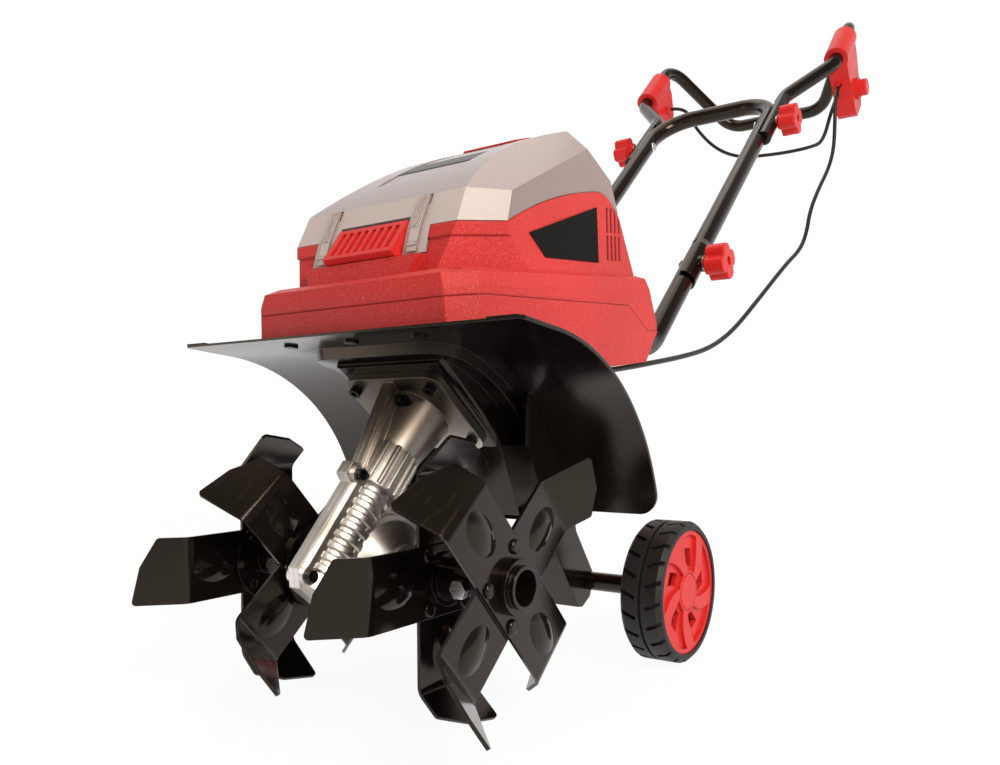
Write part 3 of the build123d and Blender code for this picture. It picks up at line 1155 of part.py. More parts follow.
pack_low = TRAY_Z + TRAY_T / 2 + RAIL_H + SEAT_GAP
pack = Pos(0, BATTERY_Y + BATTERY_L / 2, pack_low + BATTERY_H / 2) * Box(BATTERY_W, BATTERY_L, BATTERY_H)
pack = chamfer(pack.edges().group_by(Axis.Z)[-1], 9)
pack = pack - Pos(0, BATTERY_Y + 8, pack_low + BATTERY_H * 0.62) * Box(40, 20, 5)
for node, sign in (("battery_right", 1), ("battery_left", -1)):
    save(Pos(sign * pack_x, 0, 0) * pack, node)

# Lid
lid_out = lid_form(0) - below_lid(-LID_GAP)
lid_in = lid_form(WALL)
lid = lid_out - lid_in
front_lean = (LID_FRONT[0] - shell_foot[0]) / (LID_FRONT[1] - shell_foot[1])
brow_lean = (LID_BROW[0] - LID_FRONT[0]) / (LID_BROW[1] - LID_FRONT[1])
tab_low_y = LID_FRONT[0] - (LID_FRONT[1] - TAB_LOW_Z) * front_lean
tab_top_z = LID_FRONT[1] + LID_GAP
tab_t = WALL + 0.4
tab = [(tab_low_y, TAB_LOW_Z), LID_FRONT,
       (LID_FRONT[0] + (tab_top_z + 2 - LID_FRONT[1]) * brow_lean, tab_top_z + 2),
       (LID_FRONT[0] + tab_t, tab_top_z + 2), (LID_FRONT[0] + tab_t, LID_FRONT[1]),
       (tab_low_y + tab_t, TAB_LOW_Z)]
lid = lid - front_block(-GRILLE_HALF_W - 1, GRILLE_HALF_W + 1, 250, grille_top_z + 2.5)
lid = lid + both(side_prism(tab, GRILLE_HALF_W + 1, TAB_END_X))
latch_hole_w = LATCH_W / 2 + 0.6
latch_hole = front_block(LATCH_X - latch_hole_w, LATCH_X + latch_hole_w, LATCH_TOP_Z - 8, LATCH_TOP_Z + 1)
lid = lid - both(latch_hole)
label_room = Pos(0, LID_LABEL_Y, LID_CROWN[1]) * Box(LID_LABEL_W, LID_LABEL_L, 200)
lid = lid - ((lid_form(-1) - lid_form(LID_LABEL_DEEP)) & label_room)
arm = side_prism([(LID_HINGE_Y - 8, LID_HINGE_Z + 6), (LID_HINGE_Y + LID_KNUCKLE_R, LID_HINGE_Z),
                  (LID_HINGE_Y + 2, LID_HINGE_Z + 24), (LID_HINGE_Y - 5, LID_HINGE_Z + 24)], 53, 70)
arm = arm + rod(LID_KNUCKLE_R, 53, 70, LID_HINGE_Y, LID_HINGE_Z)
arm = arm - lid_in - rod(LID_PIN_R + 0.06, 30, 90, LID_HINGE_Y, LID_HINGE_Z)
lid = lid - rod(LID_KNUCKLE_R + 0.8, -53, 53, LID_HINGE_Y, LID_HINGE_Z) + both(arm)
save(lid, "battery_lid")
hinge_pin = rod(LID_PIN_R, 36, 72, LID_HINGE_Y, LID_HINGE_Z)
save(both(hinge_pin), "lid_hinge_pins")

trim = lid_form(-TRIM_T) - lid_form(0)
trim_window = side_prism([(TRIM_FRONT_Y, TRIM_LOW_Z), (300, TRIM_LOW_Z), (300, 420), (TRIM_FRONT_Y, 420)],
                         -TRIM_HALF_W, TRIM_HALF_W)
save(trim & trim_window, "lid_trim")


def latch_shape():
    """Ribbed clip on the lid's front, on the right."""
    face = [(LID_FRONT[0] - (LID_FRONT[1] - LATCH_LOW_Z) * front_lean, LATCH_LOW_Z), LID_FRONT,
            (LID_FRONT[0] + (LATCH_TOP_Z - LID_FRONT[1]) * brow_lean, LATCH_TOP_Z)]
    skin = [(y - 0.6, z) for y, z in face]
    front = [(y - LATCH_T, z) for y, z in face]
    x0 = LATCH_X - LATCH_W / 2
    x1 = LATCH_X + LATCH_W / 2
    body = side_prism([skin[0], skin[1], skin[2], front[2], front[1], front[0]], x0, x1)
    for index in range(LATCH_RIBS):
        x = LATCH_X + (index - (LATCH_RIBS - 1) / 2) * LATCH_RIB_STEP
        rib = [front[1], front[2], (front[2][0] - LATCH_RIB_H, front[2][1]),
               (front[1][0] - LATCH_RIB_H, front[1][1])]
        body = body + side_prism(rib, x - LATCH_RIB_W / 2, x + LATCH_RIB_W / 2)
    catch_y = front[1][0] - (LID_FRONT[1] - LATCH_CATCH_Z) * front_lean
    body = body + rod(LATCH_CATCH_R, x0, x1, catch_y, LATCH_CATCH_Z)
    return body


latch = latch_shape()
save(latch, "lid_latch_right")
save(mirror(latch, about=Plane.YZ), "lid_latch_left")

# Handle
lean_dir = Vector(0, cos(radians(HANDLE_LEAN)), sin(radians(HANDLE_LEAN)))
bend_at = Vector(0, LOWER_BEND_Y, LOWER_TUBE_Z)
lower_bolt = bend_at + lean_dir * LOWER_BOLT_S
upper_bolt = lower_bolt + lean_dir * MID_LENGTH
LINE = Plane(origin=lower_bolt, x_dir=lean_dir, z_dir=(1, 0, 0))


def on_line(s, x):
    """Point on the handle's straight line, s past the lower bolt."""
    point = lower_bolt + lean_dir * s
    return x, point.Y, point.Z


def line_rod(radius, s0, s1, x):
    """Cylinder along the handle's straight line."""
    return LINE.location * Pos((s0 + s1) / 2, 0, x) * Rot(0, 90, 0) * Cylinder(radius, s1 - s0)


LAP_FULL = LAP_HALF_L + LAP_CLEAR
far = 400.0


def line_block(s0, s1, x0, x1):
    """Block about the handle's straight line, between two distances across the machine."""
    return LINE.location * Pos((s0 + s1) / 2, 0, (x0 + x1) / 2) * Box(s1 - s0, far, x1 - x0)


lower_path = FilletPolyline((HANDLE_X, LOWER_TUBE_Y, LOWER_TUBE_Z), (HANDLE_X, LOWER_BEND_Y, LOWER_TUBE_Z),
                            on_line(-LAP_FULL, HANDLE_X), radius=LOWER_BEND_R)
lower_tube = tube_on(lower_path, TUBE_R, TUBE_WALL)
lower_tube = lower_tube + line_rod(TUBE_R, -LAP_FULL - LAP_WALL, -LAP_FULL, HANDLE_X)
lap_face = HANDLE_X - LAP_SPLIT
lap_in = line_rod(TUBE_R, -LAP_FULL, LAP_HALF_L, HANDLE_X) & line_block(-far, far, 0, lap_face)
lap_core = line_rod(TUBE_R - LAP_WALL, -LAP_FULL, LAP_HALF_L - LAP_WALL, HANDLE_X)
lap_core = lap_core & line_block(-far, far, 0, lap_face - LAP_WALL)
lap_core = lap_core - rod(BOLT_SEAT_R, 0, HANDLE_X, lower_bolt.Y, lower_bolt.Z)
lower_tube = lower_tube + (lap_in - lap_core)
lower_tube = lower_tube - rod(BOLT_R + PRESS_GAP, 0, 200, lower_bolt.Y, lower_bolt.Z)
save(both(lower_tube), "lower_tubes")

pad_x = HANDLE_X + CUP_R + 1.5
cup_face = HANDLE_X + LAP_SPLIT
cup = line_rod(CUP_R, -LAP_HALF_L + 1, LAP_HALF_L - 5, HANDLE_X)
cup = cup + LINE.location * Pos(LAP_HALF_L + 1, 0, HANDLE_X) * Rot(0, 90, 0) * Cone(CUP_R, TUBE_R, 12)
cup = cup + rod(10, HANDLE_X, pad_x, lower_bolt.Y, lower_bolt.Z)
cup_core = line_rod(CUP_R - LAP_WALL, -LAP_HALF_L + 1 + LAP_WALL, LAP_HALF_L - 5, HANDLE_X)
cup_core = cup_core + line_rod(TUBE_R - LAP_WALL, 0, LAP_FULL + 20, HANDLE_X)
cup_core = cup_core & line_block(-far, far, cup_face + LAP_WALL, 2 * HANDLE_X)
cup_core = cup_core - rod(BOLT_SEAT_R, HANDLE_X, pad_x, lower_bolt.Y, lower_bolt.Z)
lap_out = (cup & line_block(-far, far, cup_face, 2 * HANDLE_X)) - cup_core
MID_END = MID_LENGTH + MID_PAST
mid_path = FilletPolyline(on_line(LAP_FULL, HANDLE_X), on_line(MID_END, HANDLE_X),
                          on_line(MID_END, -HANDLE_X),
                          on_line(LAP_FULL, -HANDLE_X), radius=MID_CORNER_R)
mid_end_plug = line_rod(TUBE_R, LAP_FULL, LAP_FULL + LAP_WALL, HANDLE_X)
mid = tube_on(mid_path, TUBE_R, TUBE_WALL) + both(lap_out + mid_end_plug)
mid_solid = tube_on(mid_path, TUBE_R, 0)
flat_x = UPPER_LAP_X - 2 * LAP_SPLIT
flat_low = MID_LENGTH - UPPER_TAIL - LAP_CLEAR
flat_top = MID_LENGTH + UPPER_FLAT + LAP_CLEAR
mid = mid - both(line_block(flat_low, flat_top, flat_x, 2 * HANDLE_X))
mid = mid + both(mid_solid & line_block(flat_low, flat_top, flat_x - LAP_WALL, flat_x))
mid = mid + both(mid_solid & line_block(flat_low - LAP_WALL, flat_low, HANDLE_X, 2 * HANDLE_X))
mid = mid - rod(BOLT_R + 0.3, -300, 300, lower_bolt.Y, lower_bolt.Z)
mid = mid - rod(BOLT_R + PRESS_GAP, -300, 300, upper_bolt.Y, upper_bolt.Z)
save(mid, "middle_frame")


def carriage_bolt(x_head, x_end, at):
    """Bolt along X with a domed head on the inner side."""
    head = rod(7.0, x_head - 3, x_head, at.Y, at.Z)
    head = fillet(head.edges().group_by(Axis.X)[0], 2.2)
    return head + rod(BOLT_R, x_head - 1, x_end, at.Y, at.Z)


def washer(x0, x1, at):
    """Plain washer about a bolt."""
    return rod(9.0, x0, x1, at.Y, at.Z) - rod(BOLT_R + PRESS_GAP, x0 - 1, x1 + 1, at.Y, at.Z)


def knob(x0, at):
    """Cross-shaped hand knob, screwed on from the outside."""
    stem = rod(KNOB_ARM_W / 2, x0, x0 + 7, at.Y, at.Z)
    a = KNOB_R
    b = KNOB_ARM_W / 2
    quarter = [(a, -b), (a, b), (b, b)]
    corners = list(quarter)
    for _ in range(3):
        quarter = [(-y, x) for x, y in quarter]
        corners = corners + quarter
    outline = Polygon(*corners, align=None)
    outline = fillet([point for point in outline.vertices() if abs(point.X) + abs(point.Y) > a + 1], b * 0.8)
    outline = fillet([point for point in outline.vertices() if abs(abs(point.X) - abs(point.Y)) < 0.01], 3.0)
    outline = Rot(0, 0, KNOB_TURN) * outline
    grip = extrude(Plane.YZ.offset(x0 + 6) * Pos(at.Y, at.Z) * outline, amount=KNOB_L - 6, dir=(1, 0, 0))
    grip = fillet(grip.edges().group_by(Axis.X)[-1], 1.6)
    dish = rod(5.5, x0 + KNOB_L - 5, x0 + KNOB_L + 1, at.Y, at.Z)
    return stem + grip - dish - rod(BOLT_R + PRESS_GAP, x0 - 1, x0 + KNOB_L - 9, at.Y, at.Z)


lower_knob_x = pad_x + 2.2
bolt_low = carriage_bolt(HANDLE_X - TUBE_R - 0.1, lower_knob_x + KNOB_L - 10, lower_bolt)
ring_low = washer(pad_x + 0.3, lower_knob_x - 0.3, lower_bolt)
bolts_low = [bolt_low, ring_low]
save(Compound(bolts_low + [mirror(one, about=Plane.YZ) for one in bolts_low]), "lower_bolts")
upper_pad = UPPER_LAP_X + UPPER_LAP_T
upper_knob_x = upper_pad + 2.2
bolt_top = carriage_bolt(HANDLE_X - TUBE_R - 0.1, upper_knob_x + KNOB_L - 10, upper_bolt)
ring_top = washer(upper_pad + 0.3, upper_knob_x - 0.3, upper_bolt)
bolts_top = [bolt_top, ring_top]
save(Compound(bolts_top + [mirror(one, about=Plane.YZ) for one in bolts_top]), "upper_bolts")
for node, x0, at in (("lower_knob", lower_knob_x, lower_bolt), ("upper_knob", upper_knob_x, upper_bolt)):
    shape = knob(x0, at)
    save(shape, node + "_right")
    save(mirror(shape, about=Plane.YZ), node + "_left")

flare = on_line(MID_LENGTH + UPPER_STRAIGHT, UPPER_X)
half_route = [on_line(MID_LENGTH - UPPER_TAIL, UPPER_X), flare, (GRIP_X, GRIP_LOW_Y, GRIP_LOW_Z),
              (GRIP_X, GRIP_TOP_Y, GRIP_TOP_Z), (BAR_X, BAR_Y, BAR_Z)]
route = half_route + [(-x, y, z) for x, y, z in reversed(half_route)]
upper_path = FilletPolyline(*route, radius=list(UPPER_BENDS) + list(reversed(UPPER_BENDS)))
upper_tube = tube_on(upper_path, UPPER_R, TUBE_WALL)
upper_solid = tube_on(upper_path, UPPER_R, 0)
lap_low = MID_LENGTH - UPPER_TAIL
lap_top = MID_LENGTH + UPPER_FLAT
lap_web = line_block(lap_low, lap_top + LAP_WALL, UPPER_LAP_X, UPPER_LAP_X + LAP_WALL)
lap_ends = line_block(lap_low, lap_low + LAP_WALL, UPPER_LAP_X, 2 * UPPER_X)
lap_ends = lap_ends + line_block(lap_top, lap_top + LAP_WALL, 0, UPPER_LAP_X + LAP_WALL)
lap_seat = rod(10, UPPER_LAP_X, upper_pad, upper_bolt.Y, upper_bolt.Z)
upper_tube = upper_tube - both(line_block(lap_low - far / 4, lap_top, 0, UPPER_LAP_X))
upper_tube = upper_tube + both(upper_solid & lap_web) + both(upper_solid & lap_ends) + both(upper_solid
                                        & lap_seat)
upper_tube = upper_tube - both(rod(11, upper_pad, 2 * UPPER_X, upper_bolt.Y, upper_bolt.Z))
upper_tube = upper_tube - rod(BOLT_R + 0.3, -300, 300, upper_bolt.Y, upper_bolt.Z)
save(upper_tube, "upper_handle")

# Switch boxes on the grips
grip_low = Vector(GRIP_X, GRIP_LOW_Y, GRIP_LOW_Z)
grip_dir = (Vector(GRIP_X, GRIP_TOP_Y, GRIP_TOP_Z) - grip_low).normalized()
BOX = Plane(origin=grip_low + grip_dir * SLEEVE_START, x_dir=grip_dir, z_dir=(1, 0, 0))


def box_prism(points, half):
    """Polygon beside the grip tube, extruded across the box."""
    return BOX.location * extrude(Polygon(*points, align=None), amount=half, both=True)


def box_rod(radius, u, v, x0, x1):
    """Cylinder across the box, in the grip's frame."""
    return BOX.location * Pos(u, v, (x0 + x1) / 2) * Cylinder(radius, abs(x1 - x0))


sleeve = BOX.location * Pos(SLEEVE_L / 2, 0, 0) * Rot(0, 90, 0) * Cylinder(SLEEVE_R, SLEEVE_L)
sleeve_bore = BOX.location * Pos(SLEEVE_L / 2, 0, 0) * Rot(0, 90, 0) * Cylinder(UPPER_R + 0.05, SLEEVE_L + 2)
guard_tube = BOX.location * Pos(SLEEVE_L / 2, 0, 0) * Rot(0, 90, 0) * Cylinder(UPPER_R + 4, SLEEVE_L + 2)
deep = BOX_DEPTH
outline = [(0, -4), (SLEEVE_L, -4), (SLEEVE_L - 3, -24), (SLEEVE_L * 0.66, -deep * 0.86),
           (SLEEVE_L * 0.54, -deep), (6, -deep), (0, -deep + 8)]
inside = [(BOX_WALL, -SLEEVE_R), (SLEEVE_L - 8, -SLEEVE_R), (SLEEVE_L - 9, -26),
          (SLEEVE_L * 0.66 - 4, -deep * 0.84), (SLEEVE_L * 0.54 - 2, -deep + BOX_WALL), (8, -deep + BOX_WALL),
          (BOX_WALL, -deep + 10)]
pivot_u = SLEEVE_L - 16
pivot_v = -SLEEVE_R - 7
trigger_slot = [(SLEEVE_L - 22, -SLEEVE_R - 1), (SLEEVE_L + 20, -SLEEVE_R - 1), (SLEEVE_L + 20, -deep * 0.83),
                (SLEEVE_L * 0.5, -deep * 0.83)]
right_box = box_prism(outline, BOX_HALF_T) + sleeve
right_box = right_box - (box_prism(inside, BOX_HALF_T - BOX_WALL) - guard_tube) - sleeve_bore
right_box = right_box - (box_prism(trigger_slot, TRIGGER_W / 2 + TRIGGER_GAP) - guard_tube)
pivot_pin = box_rod(PIVOT_R, pivot_u, pivot_v, -BOX_HALF_T, BOX_HALF_T)
right_box = right_box + pivot_pin
button_v = -deep * 0.66
collar = box_rod(BUTTON_R + 4, BUTTON_U, button_v, BOX_HALF_T - 1, BOX_HALF_T + 5)
right_box = right_box + collar
right_box = right_box - box_rod(BUTTON_R + 0.3, BUTTON_U, button_v, 2, BOX_HALF_T + 10)
right_box = right_box - box_rod(BUTTON_R + 2.5, BUTTON_U, button_v, 2, BOX_HALF_T - BOX_WALL)
gland = BOX.location * Pos(-5, CABLE_V, CABLE_X) * Rot(0, -90, 0) * Cone(7.5, 5.0, 12)
gland = gland - BOX.location * Pos(-5, CABLE_V, CABLE_X) * Rot(0, 90, 0) * Cylinder(CABLE_R + 0.05, 20)
right_box = right_box - BOX.location * Pos(0, CABLE_V, CABLE_X) * Rot(0, 90, 0) * Cylinder(CABLE_R + 0.05, 12)
link_hole = BOX.location * Pos(0, LINK_V, LINK_X) * Rot(0, 90, 0) * Cylinder(CABLE_R + 0.05, 12)
right_box = right_box - link_hole
right_half = Pos(GRIP_X + far / 2, 0, 0) * Box(far, 8 * far, 8 * far)
save(right_box & right_half, "switch_box_outer")
save((right_box + gland) - right_half, "switch_box_inner")

button = box_rod(BUTTON_R, BUTTON_U, button_v, 3.5, BOX_HALF_T + BUTTON_OUT)
button = fillet(button.edges().group_by(Axis.X)[-1], 2.5)
button = button + box_rod(BUTTON_R + 2, BUTTON_U, button_v, 3.5, 6.5)
save(button, "safety_button")


def trigger(depth):
    """Squeeze lever with its pivot hole, on the right grip."""
    points = [(pivot_u - 6, pivot_v + 6), (pivot_u + 8, pivot_v + 6), (SLEEVE_L + 6, pivot_v - 8),
              (SLEEVE_L + 5, pivot_v - 26), (SLEEVE_L * 0.78 + 6, -depth), (SLEEVE_L * 0.78 - 5, -depth + 2),
              (pivot_u - 4, pivot_v - 22), (pivot_u - 7, pivot_v - 4)]
    body = box_prism(points, TRIGGER_W / 2)
    return body - box_rod(PIVOT_R + 0.06, pivot_u, pivot_v, -20, 20)


save(trigger(deep * 0.80), "trigger_right")

left_outline = [(0, -4), (SLEEVE_L, -4), (SLEEVE_L - 2, -24), (SLEEVE_L * 0.74, -LEFT_DEPTH * 0.9),
                (SLEEVE_L * 0.6, -LEFT_DEPTH), (SLEEVE_L * 0.42, -LEFT_DEPTH), (0, -22)]
left_inside = [(10, -SLEEVE_R), (SLEEVE_L - 8, -SLEEVE_R), (SLEEVE_L - 9, -26),
               (SLEEVE_L * 0.7, -LEFT_DEPTH * 0.88), (SLEEVE_L * 0.58, -LEFT_DEPTH + BOX_WALL),
               (SLEEVE_L * 0.46, -LEFT_DEPTH + BOX_WALL)]
left_slot = [(SLEEVE_L - 22, -SLEEVE_R - 1), (SLEEVE_L + 20, -SLEEVE_R - 1),
             (SLEEVE_L + 20, -LEFT_DEPTH * 0.86),
             (SLEEVE_L * 0.56, -LEFT_DEPTH * 0.86)]
left_box = box_prism(left_outline, BOX_HALF_T) + sleeve
left_box = left_box - (box_prism(left_inside, BOX_HALF_T - BOX_WALL) - guard_tube) - sleeve_bore
left_box = left_box - (box_prism(left_slot, TRIGGER_W / 2 + TRIGGER_GAP) - guard_tube)
left_box = left_box + pivot_pin
left_seat = BOX.location * Pos(LEFT_GLAND_U, LEFT_GLAND_V, -BOX_HALF_T - 5)
left_gland = left_seat * Cone(5.0, 7.5, 12)
left_hole = left_seat * Cylinder(CABLE_R + 0.05, 24)
left_box = left_box - left_hole
left_gland = left_gland - left_hole
left_inner = (left_box + left_gland) - right_half
left_outer = left_box & right_half
save(mirror(left_inner, about=Plane.YZ), "left_box_inner")
save(mirror(left_outer, about=Plane.YZ), "left_box_outer")
left_lever = trigger(LEFT_DEPTH * 0.82 + 8)
left_lever = left_lever & box_prism([(-20, 40), (150, 40), (150, -LEFT_DEPTH * 0.82),
                                     (-20, -LEFT_DEPTH * 0.82)], 20)
save(mirror(left_lever, about=Plane.YZ), "trigger_left")


# Cables
def cord_radii(points, limp):
    """Bend radius at each inner point, from the shorter run beside it."""
    radii = []
    for before, here, after in zip(points, points[1:], points[2:]):
        a = Vector(*here) - Vector(*before)
        b = Vector(*after) - Vector(*here)
        turn = radians(max(a.get_angle(b), 0.5))
        radii.append(0.45 * min(a.length, b.length) / tan(turn / 2))
    for number, value in enumerate(radii):
        if value < limp * 2 * CABLE_R:
            print("tight cable bend", number, round(value, 1))
    return radii


def cord(points, node):
    """Round cable along straight runs and tangent arcs."""
    path = FilletPolyline(*points, radius=cord_radii(points, 4))
    shape = sweep(Plane(origin=path @ 0, z_dir=path % 0) * Circle(CABLE_R), path=path)
    print(node, "length", round(path.length, 1), "volume ratio",
          round(shape.volume / (pi * CABLE_R ** 2 * path.length), 4))
    save(shape, node)


gland_block = Pos(GLAND_X, 217, (GLAND_Z - 8 + BASE_FLOOR_Z) / 2)
gland_block = gland_block * Box(20, 36, BASE_FLOOR_Z - GLAND_Z + 8 - SEAT_GAP)
cable_gland = gland_block + Pos(GLAND_X, 247, GLAND_Z) * Rot(-90, 0, 0) * Cone(5.8, 4.4, 26)
cable_gland = cable_gland - Pos(GLAND_X, 235, GLAND_Z) * Rot(90, 0, 0) * Cylinder(CABLE_R + 0.05, 80)
save(cable_gland, "cable_gland")

CABLE_JOIN = (137.0, 676.0, 247.0)
lower_cable = [(GLAND_X, 230, GLAND_Z), (GLAND_X, 285, GLAND_Z), (104, 348, 152.5), (110, 406, 155),
               (116, 467, 160), (121, 514, 171), (125, 560, 188), (131.6, 621, 219), CABLE_JOIN]
cord(lower_cable, "main_cable_lower")
exit_at = (BOX.location * Pos(4, CABLE_V, CABLE_X)).position
exit_out = (BOX.location * Pos(-40, CABLE_V, CABLE_X)).position
upper_cable = [CABLE_JOIN, (141.86, 725.5, 272.2), (148, 778, 295), (150.5, 806, 322), (152, 824, 356),
               (156, 861, 392),
               (161, 906, 428), (164, 932, 462), (166, 938, 503),
               (exit_out.X, exit_out.Y, exit_out.Z), (exit_at.X, exit_at.Y, exit_at.Z)]
cord(upper_cable, "main_cable_upper")
left_at = (left_seat * Pos(0, 0, 3)).position
left_from = Vector(-left_at.X, left_at.Y, left_at.Z)
left_next = (left_from.X + 36, left_from.Y, left_from.Z)
link_end = (BOX.location * Pos(4, LINK_V, LINK_X)).position
link_low = (BOX.location * Pos(-52, LINK_V, LINK_X)).position
link_cable = [(left_from.X, left_from.Y, left_from.Z), left_next, (-97, 985, 556), (-62, 990, 512),
              (-20, 998, 490),
              (28, 1006, 487), (72, 1003, 485), (110, 990, 484), (138, 968, 484),
              (link_low.X, link_low.Y, link_low.Z), (link_end.X, link_end.Y, link_end.Z)]
cord(link_cable, "link_cable")
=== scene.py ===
"""A cordless tiller on a white studio floor: looks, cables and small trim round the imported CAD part."""

from math import cos, radians, sin

import bmesh
import bpy
from mathutils import Matrix, Vector


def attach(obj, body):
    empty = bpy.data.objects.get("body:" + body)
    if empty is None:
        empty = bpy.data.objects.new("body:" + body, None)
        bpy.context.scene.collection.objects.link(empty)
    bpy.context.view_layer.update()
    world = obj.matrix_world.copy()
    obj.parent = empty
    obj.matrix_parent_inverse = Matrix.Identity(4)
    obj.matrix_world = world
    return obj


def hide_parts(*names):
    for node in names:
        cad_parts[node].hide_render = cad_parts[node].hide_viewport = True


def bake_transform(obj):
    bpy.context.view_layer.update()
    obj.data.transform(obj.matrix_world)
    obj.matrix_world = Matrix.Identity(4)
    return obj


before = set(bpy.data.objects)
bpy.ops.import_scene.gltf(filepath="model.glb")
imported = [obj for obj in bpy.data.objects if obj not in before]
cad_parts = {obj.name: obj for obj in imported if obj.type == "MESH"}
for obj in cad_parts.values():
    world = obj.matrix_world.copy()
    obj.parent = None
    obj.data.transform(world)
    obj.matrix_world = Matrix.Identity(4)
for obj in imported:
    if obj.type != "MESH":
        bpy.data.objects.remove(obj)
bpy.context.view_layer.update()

# Tine axis in the row frame, in metres: the lid's strips and the cable routes are measured from it.
TINE_AXIS = Vector((0.0, -0.5236183, 0.1189634))
MILLIMETRE = 0.001


class Field:
    """A shader socket that can be used in sums."""

    def __init__(self, owner, socket):
        self.owner = owner
        self.socket = socket

    def math(self, operation, first, second=0.0):
        return self.owner.node("ShaderNodeMath", {0: first, 1: second}, operation=operation)

    def __add__(self, other):
        return self.math("ADD", self, other)

    __radd__ = __add__

    def __mul__(self, other):
        return self.math("MULTIPLY", self, other)

    __rmul__ = __mul__

    def __sub__(self, other):
        return self.math("SUBTRACT", self, other)

    def __rsub__(self, other):
        return self.math("SUBTRACT", other, self)

    def __abs__(self):
        return self.math("ABSOLUTE", self)

    def ramp(self, low, high):
        """0 below low, 1 above high and smooth between."""
        return self.owner.node(
            "ShaderNodeMapRange",
            {"Value": self, "From Min": low, "From Max": high},
            interpolation_type="SMOOTHSTEP",
        )

    def swing(self, amount):
        """A noise between 0 and 1, turned into a swing of this amount about zero."""
        return (self - 0.5) * amount


class Nodes:
    """The nodes of one material or of the studio's air."""

    def __init__(self, tree):
        self.tree = tree

    def node(self, kind, inputs=(), out=0, **settings):
        """A new node with its settings and the values or links of its sockets, as one of its outputs."""
        made = self.tree.nodes.new(kind)
        for key, value in settings.items():
            setattr(made, key, value)
        for key, value in dict(inputs).items():
            self.feed(made.inputs[key], value)
        return Field(self, made.outputs[out])

    def feed(self, socket, value):
        if isinstance(value, Field):
            self.tree.links.new(value.socket, socket)
        else:
            socket.default_value = value

    def along(self, place, direction):
        """How far a place lies along a direction."""
        both = {0: place, 1: direction}
        return self.node("ShaderNodeVectorMath", both, out="Value", operation="DOT_PRODUCT")

    def blend(self, share, first, second):
        """The first colour where share is 0, the second where it is 1."""
        colours = {0: share, 6: rgba(first), 7: rgba(second)}
        return self.node("ShaderNodeMix", colours, out=2, data_type="RGBA")


class Shade(Nodes):
    """One procedural material on object coordinates."""

    def __init__(self, name):
        self.material = bpy.data.materials.new(name)
        self.material.use_nodes = True
        super().__init__(self.material.node_tree)
        self.place = self.node("ShaderNodeTexCoord", out="Object")

    def noise(self, scale, detail, place=None, rough=0.5):
        """Noise of this many waves to the metre."""
        where = {"Vector": place or self.place, "Scale": scale, "Detail": detail, "Roughness": rough}
        return self.node("ShaderNodeTexNoise", where)

    def stretched(self, scale):
        return self.node("ShaderNodeVectorMath", {0: self.place, 1: scale}, operation="MULTIPLY")

    def part(self, vector, index):
        """One of a vector's three numbers."""
        return self.node("ShaderNodeSeparateXYZ", {0: vector}, out=index)

    def relief(self, height, depth, edge):
        """Normals of a fine relief, with every hard edge rounded by a small radius."""
        rounded = self.node("ShaderNodeBevel", {"Radius": edge}, samples=4)
        return self.node("ShaderNodeBump", {"Height": height, "Distance": depth, "Normal": rounded})

    def finish(self, **inputs):
        """The material, once the named sockets of its surface are fed."""
        surface = self.tree.nodes["Principled BSDF"]
        for key, value in inputs.items():
            self.feed(surface.inputs[key.replace("_", " ")], value)
        return self.material


def rgba(colour):
    return colour if isinstance(colour, Field) else (*colour, 1.0)


# Noise scales in waves to the metre, from slow clouds to etched skin.
PLASTIC_FLOW = 9.0
PLASTIC_SMEAR = 38.0
PLASTIC_ETCH = 1150.0
LID_FLECK = 900.0
LID_ETCH = 1100.0
PAINT_DRIFT = 11.0
PAINT_HAIR = 220.0
PAINT_SKIN = 1100.0
METAL_PATCH = 26.0
RUBBER_BLOOM = 24.0

# Hair scratches run along the machine, so their noise is drawn out that way.
HAIR_STRETCH = (1.0, 0.06, 0.3)

# Colour of pale specks laid into the red plastic's colour on its etched grain: a painted highlight for light
# glinting on that grain.
PAINTED_GLINT_COLOUR = (0.86, 0.40, 0.36)
FLECK_COLOUR = (0.95, 0.86, 0.82)
PAINT_GLEAM = (1.0, 0.80, 0.66)

# The lid's milky front, partly frosting and partly painted light on the faces leaning to the front: how much
# a lean to either side and to the front count, where the milk begins and is full, and how much rougher it is
# there.
SIDE_LEAN = 0.45
FRONT_LEAN = 0.85
MILKY_AND_LIT_SPAN = (0.62, 0.74)
MILKY_ROUGHER = 0.18

# Depth of the pebbled rubber skin and radius of its edges, in metres.
PEBBLE_DEPTH = 0.00016
RUBBER_EDGE = 0.0008


def moulded(name, colour, deep, rough, grain, edge, painted_glint=0.0, ior=1.5):
    """Moulded plastic: rounded edges, an etched grain, painted highlight specks where asked, slow flow marks
    and uneven sheen.
    """
    s = Shade(name)
    flow = s.noise(PLASTIC_FLOW, 3.0)
    etch = s.noise(PLASTIC_ETCH, 2.0)
    smear = s.noise(PLASTIC_SMEAR, 4.0)
    tint = s.blend(flow.ramp(0.3, 0.7), deep, colour)
    # Painted highlight: pale specks on the etched grain, standing in for light glinting off it.
    if painted_glint:
        tint = s.blend(etch.ramp(0.54, 0.70) * painted_glint, tint, PAINTED_GLINT_COLOUR)
    return s.finish(
        Base_Color=tint,
        Roughness=rough + smear.swing(0.12) + etch.swing(0.16),
        IOR=ior,
        Normal=s.relief(etch, grain, edge),
    )


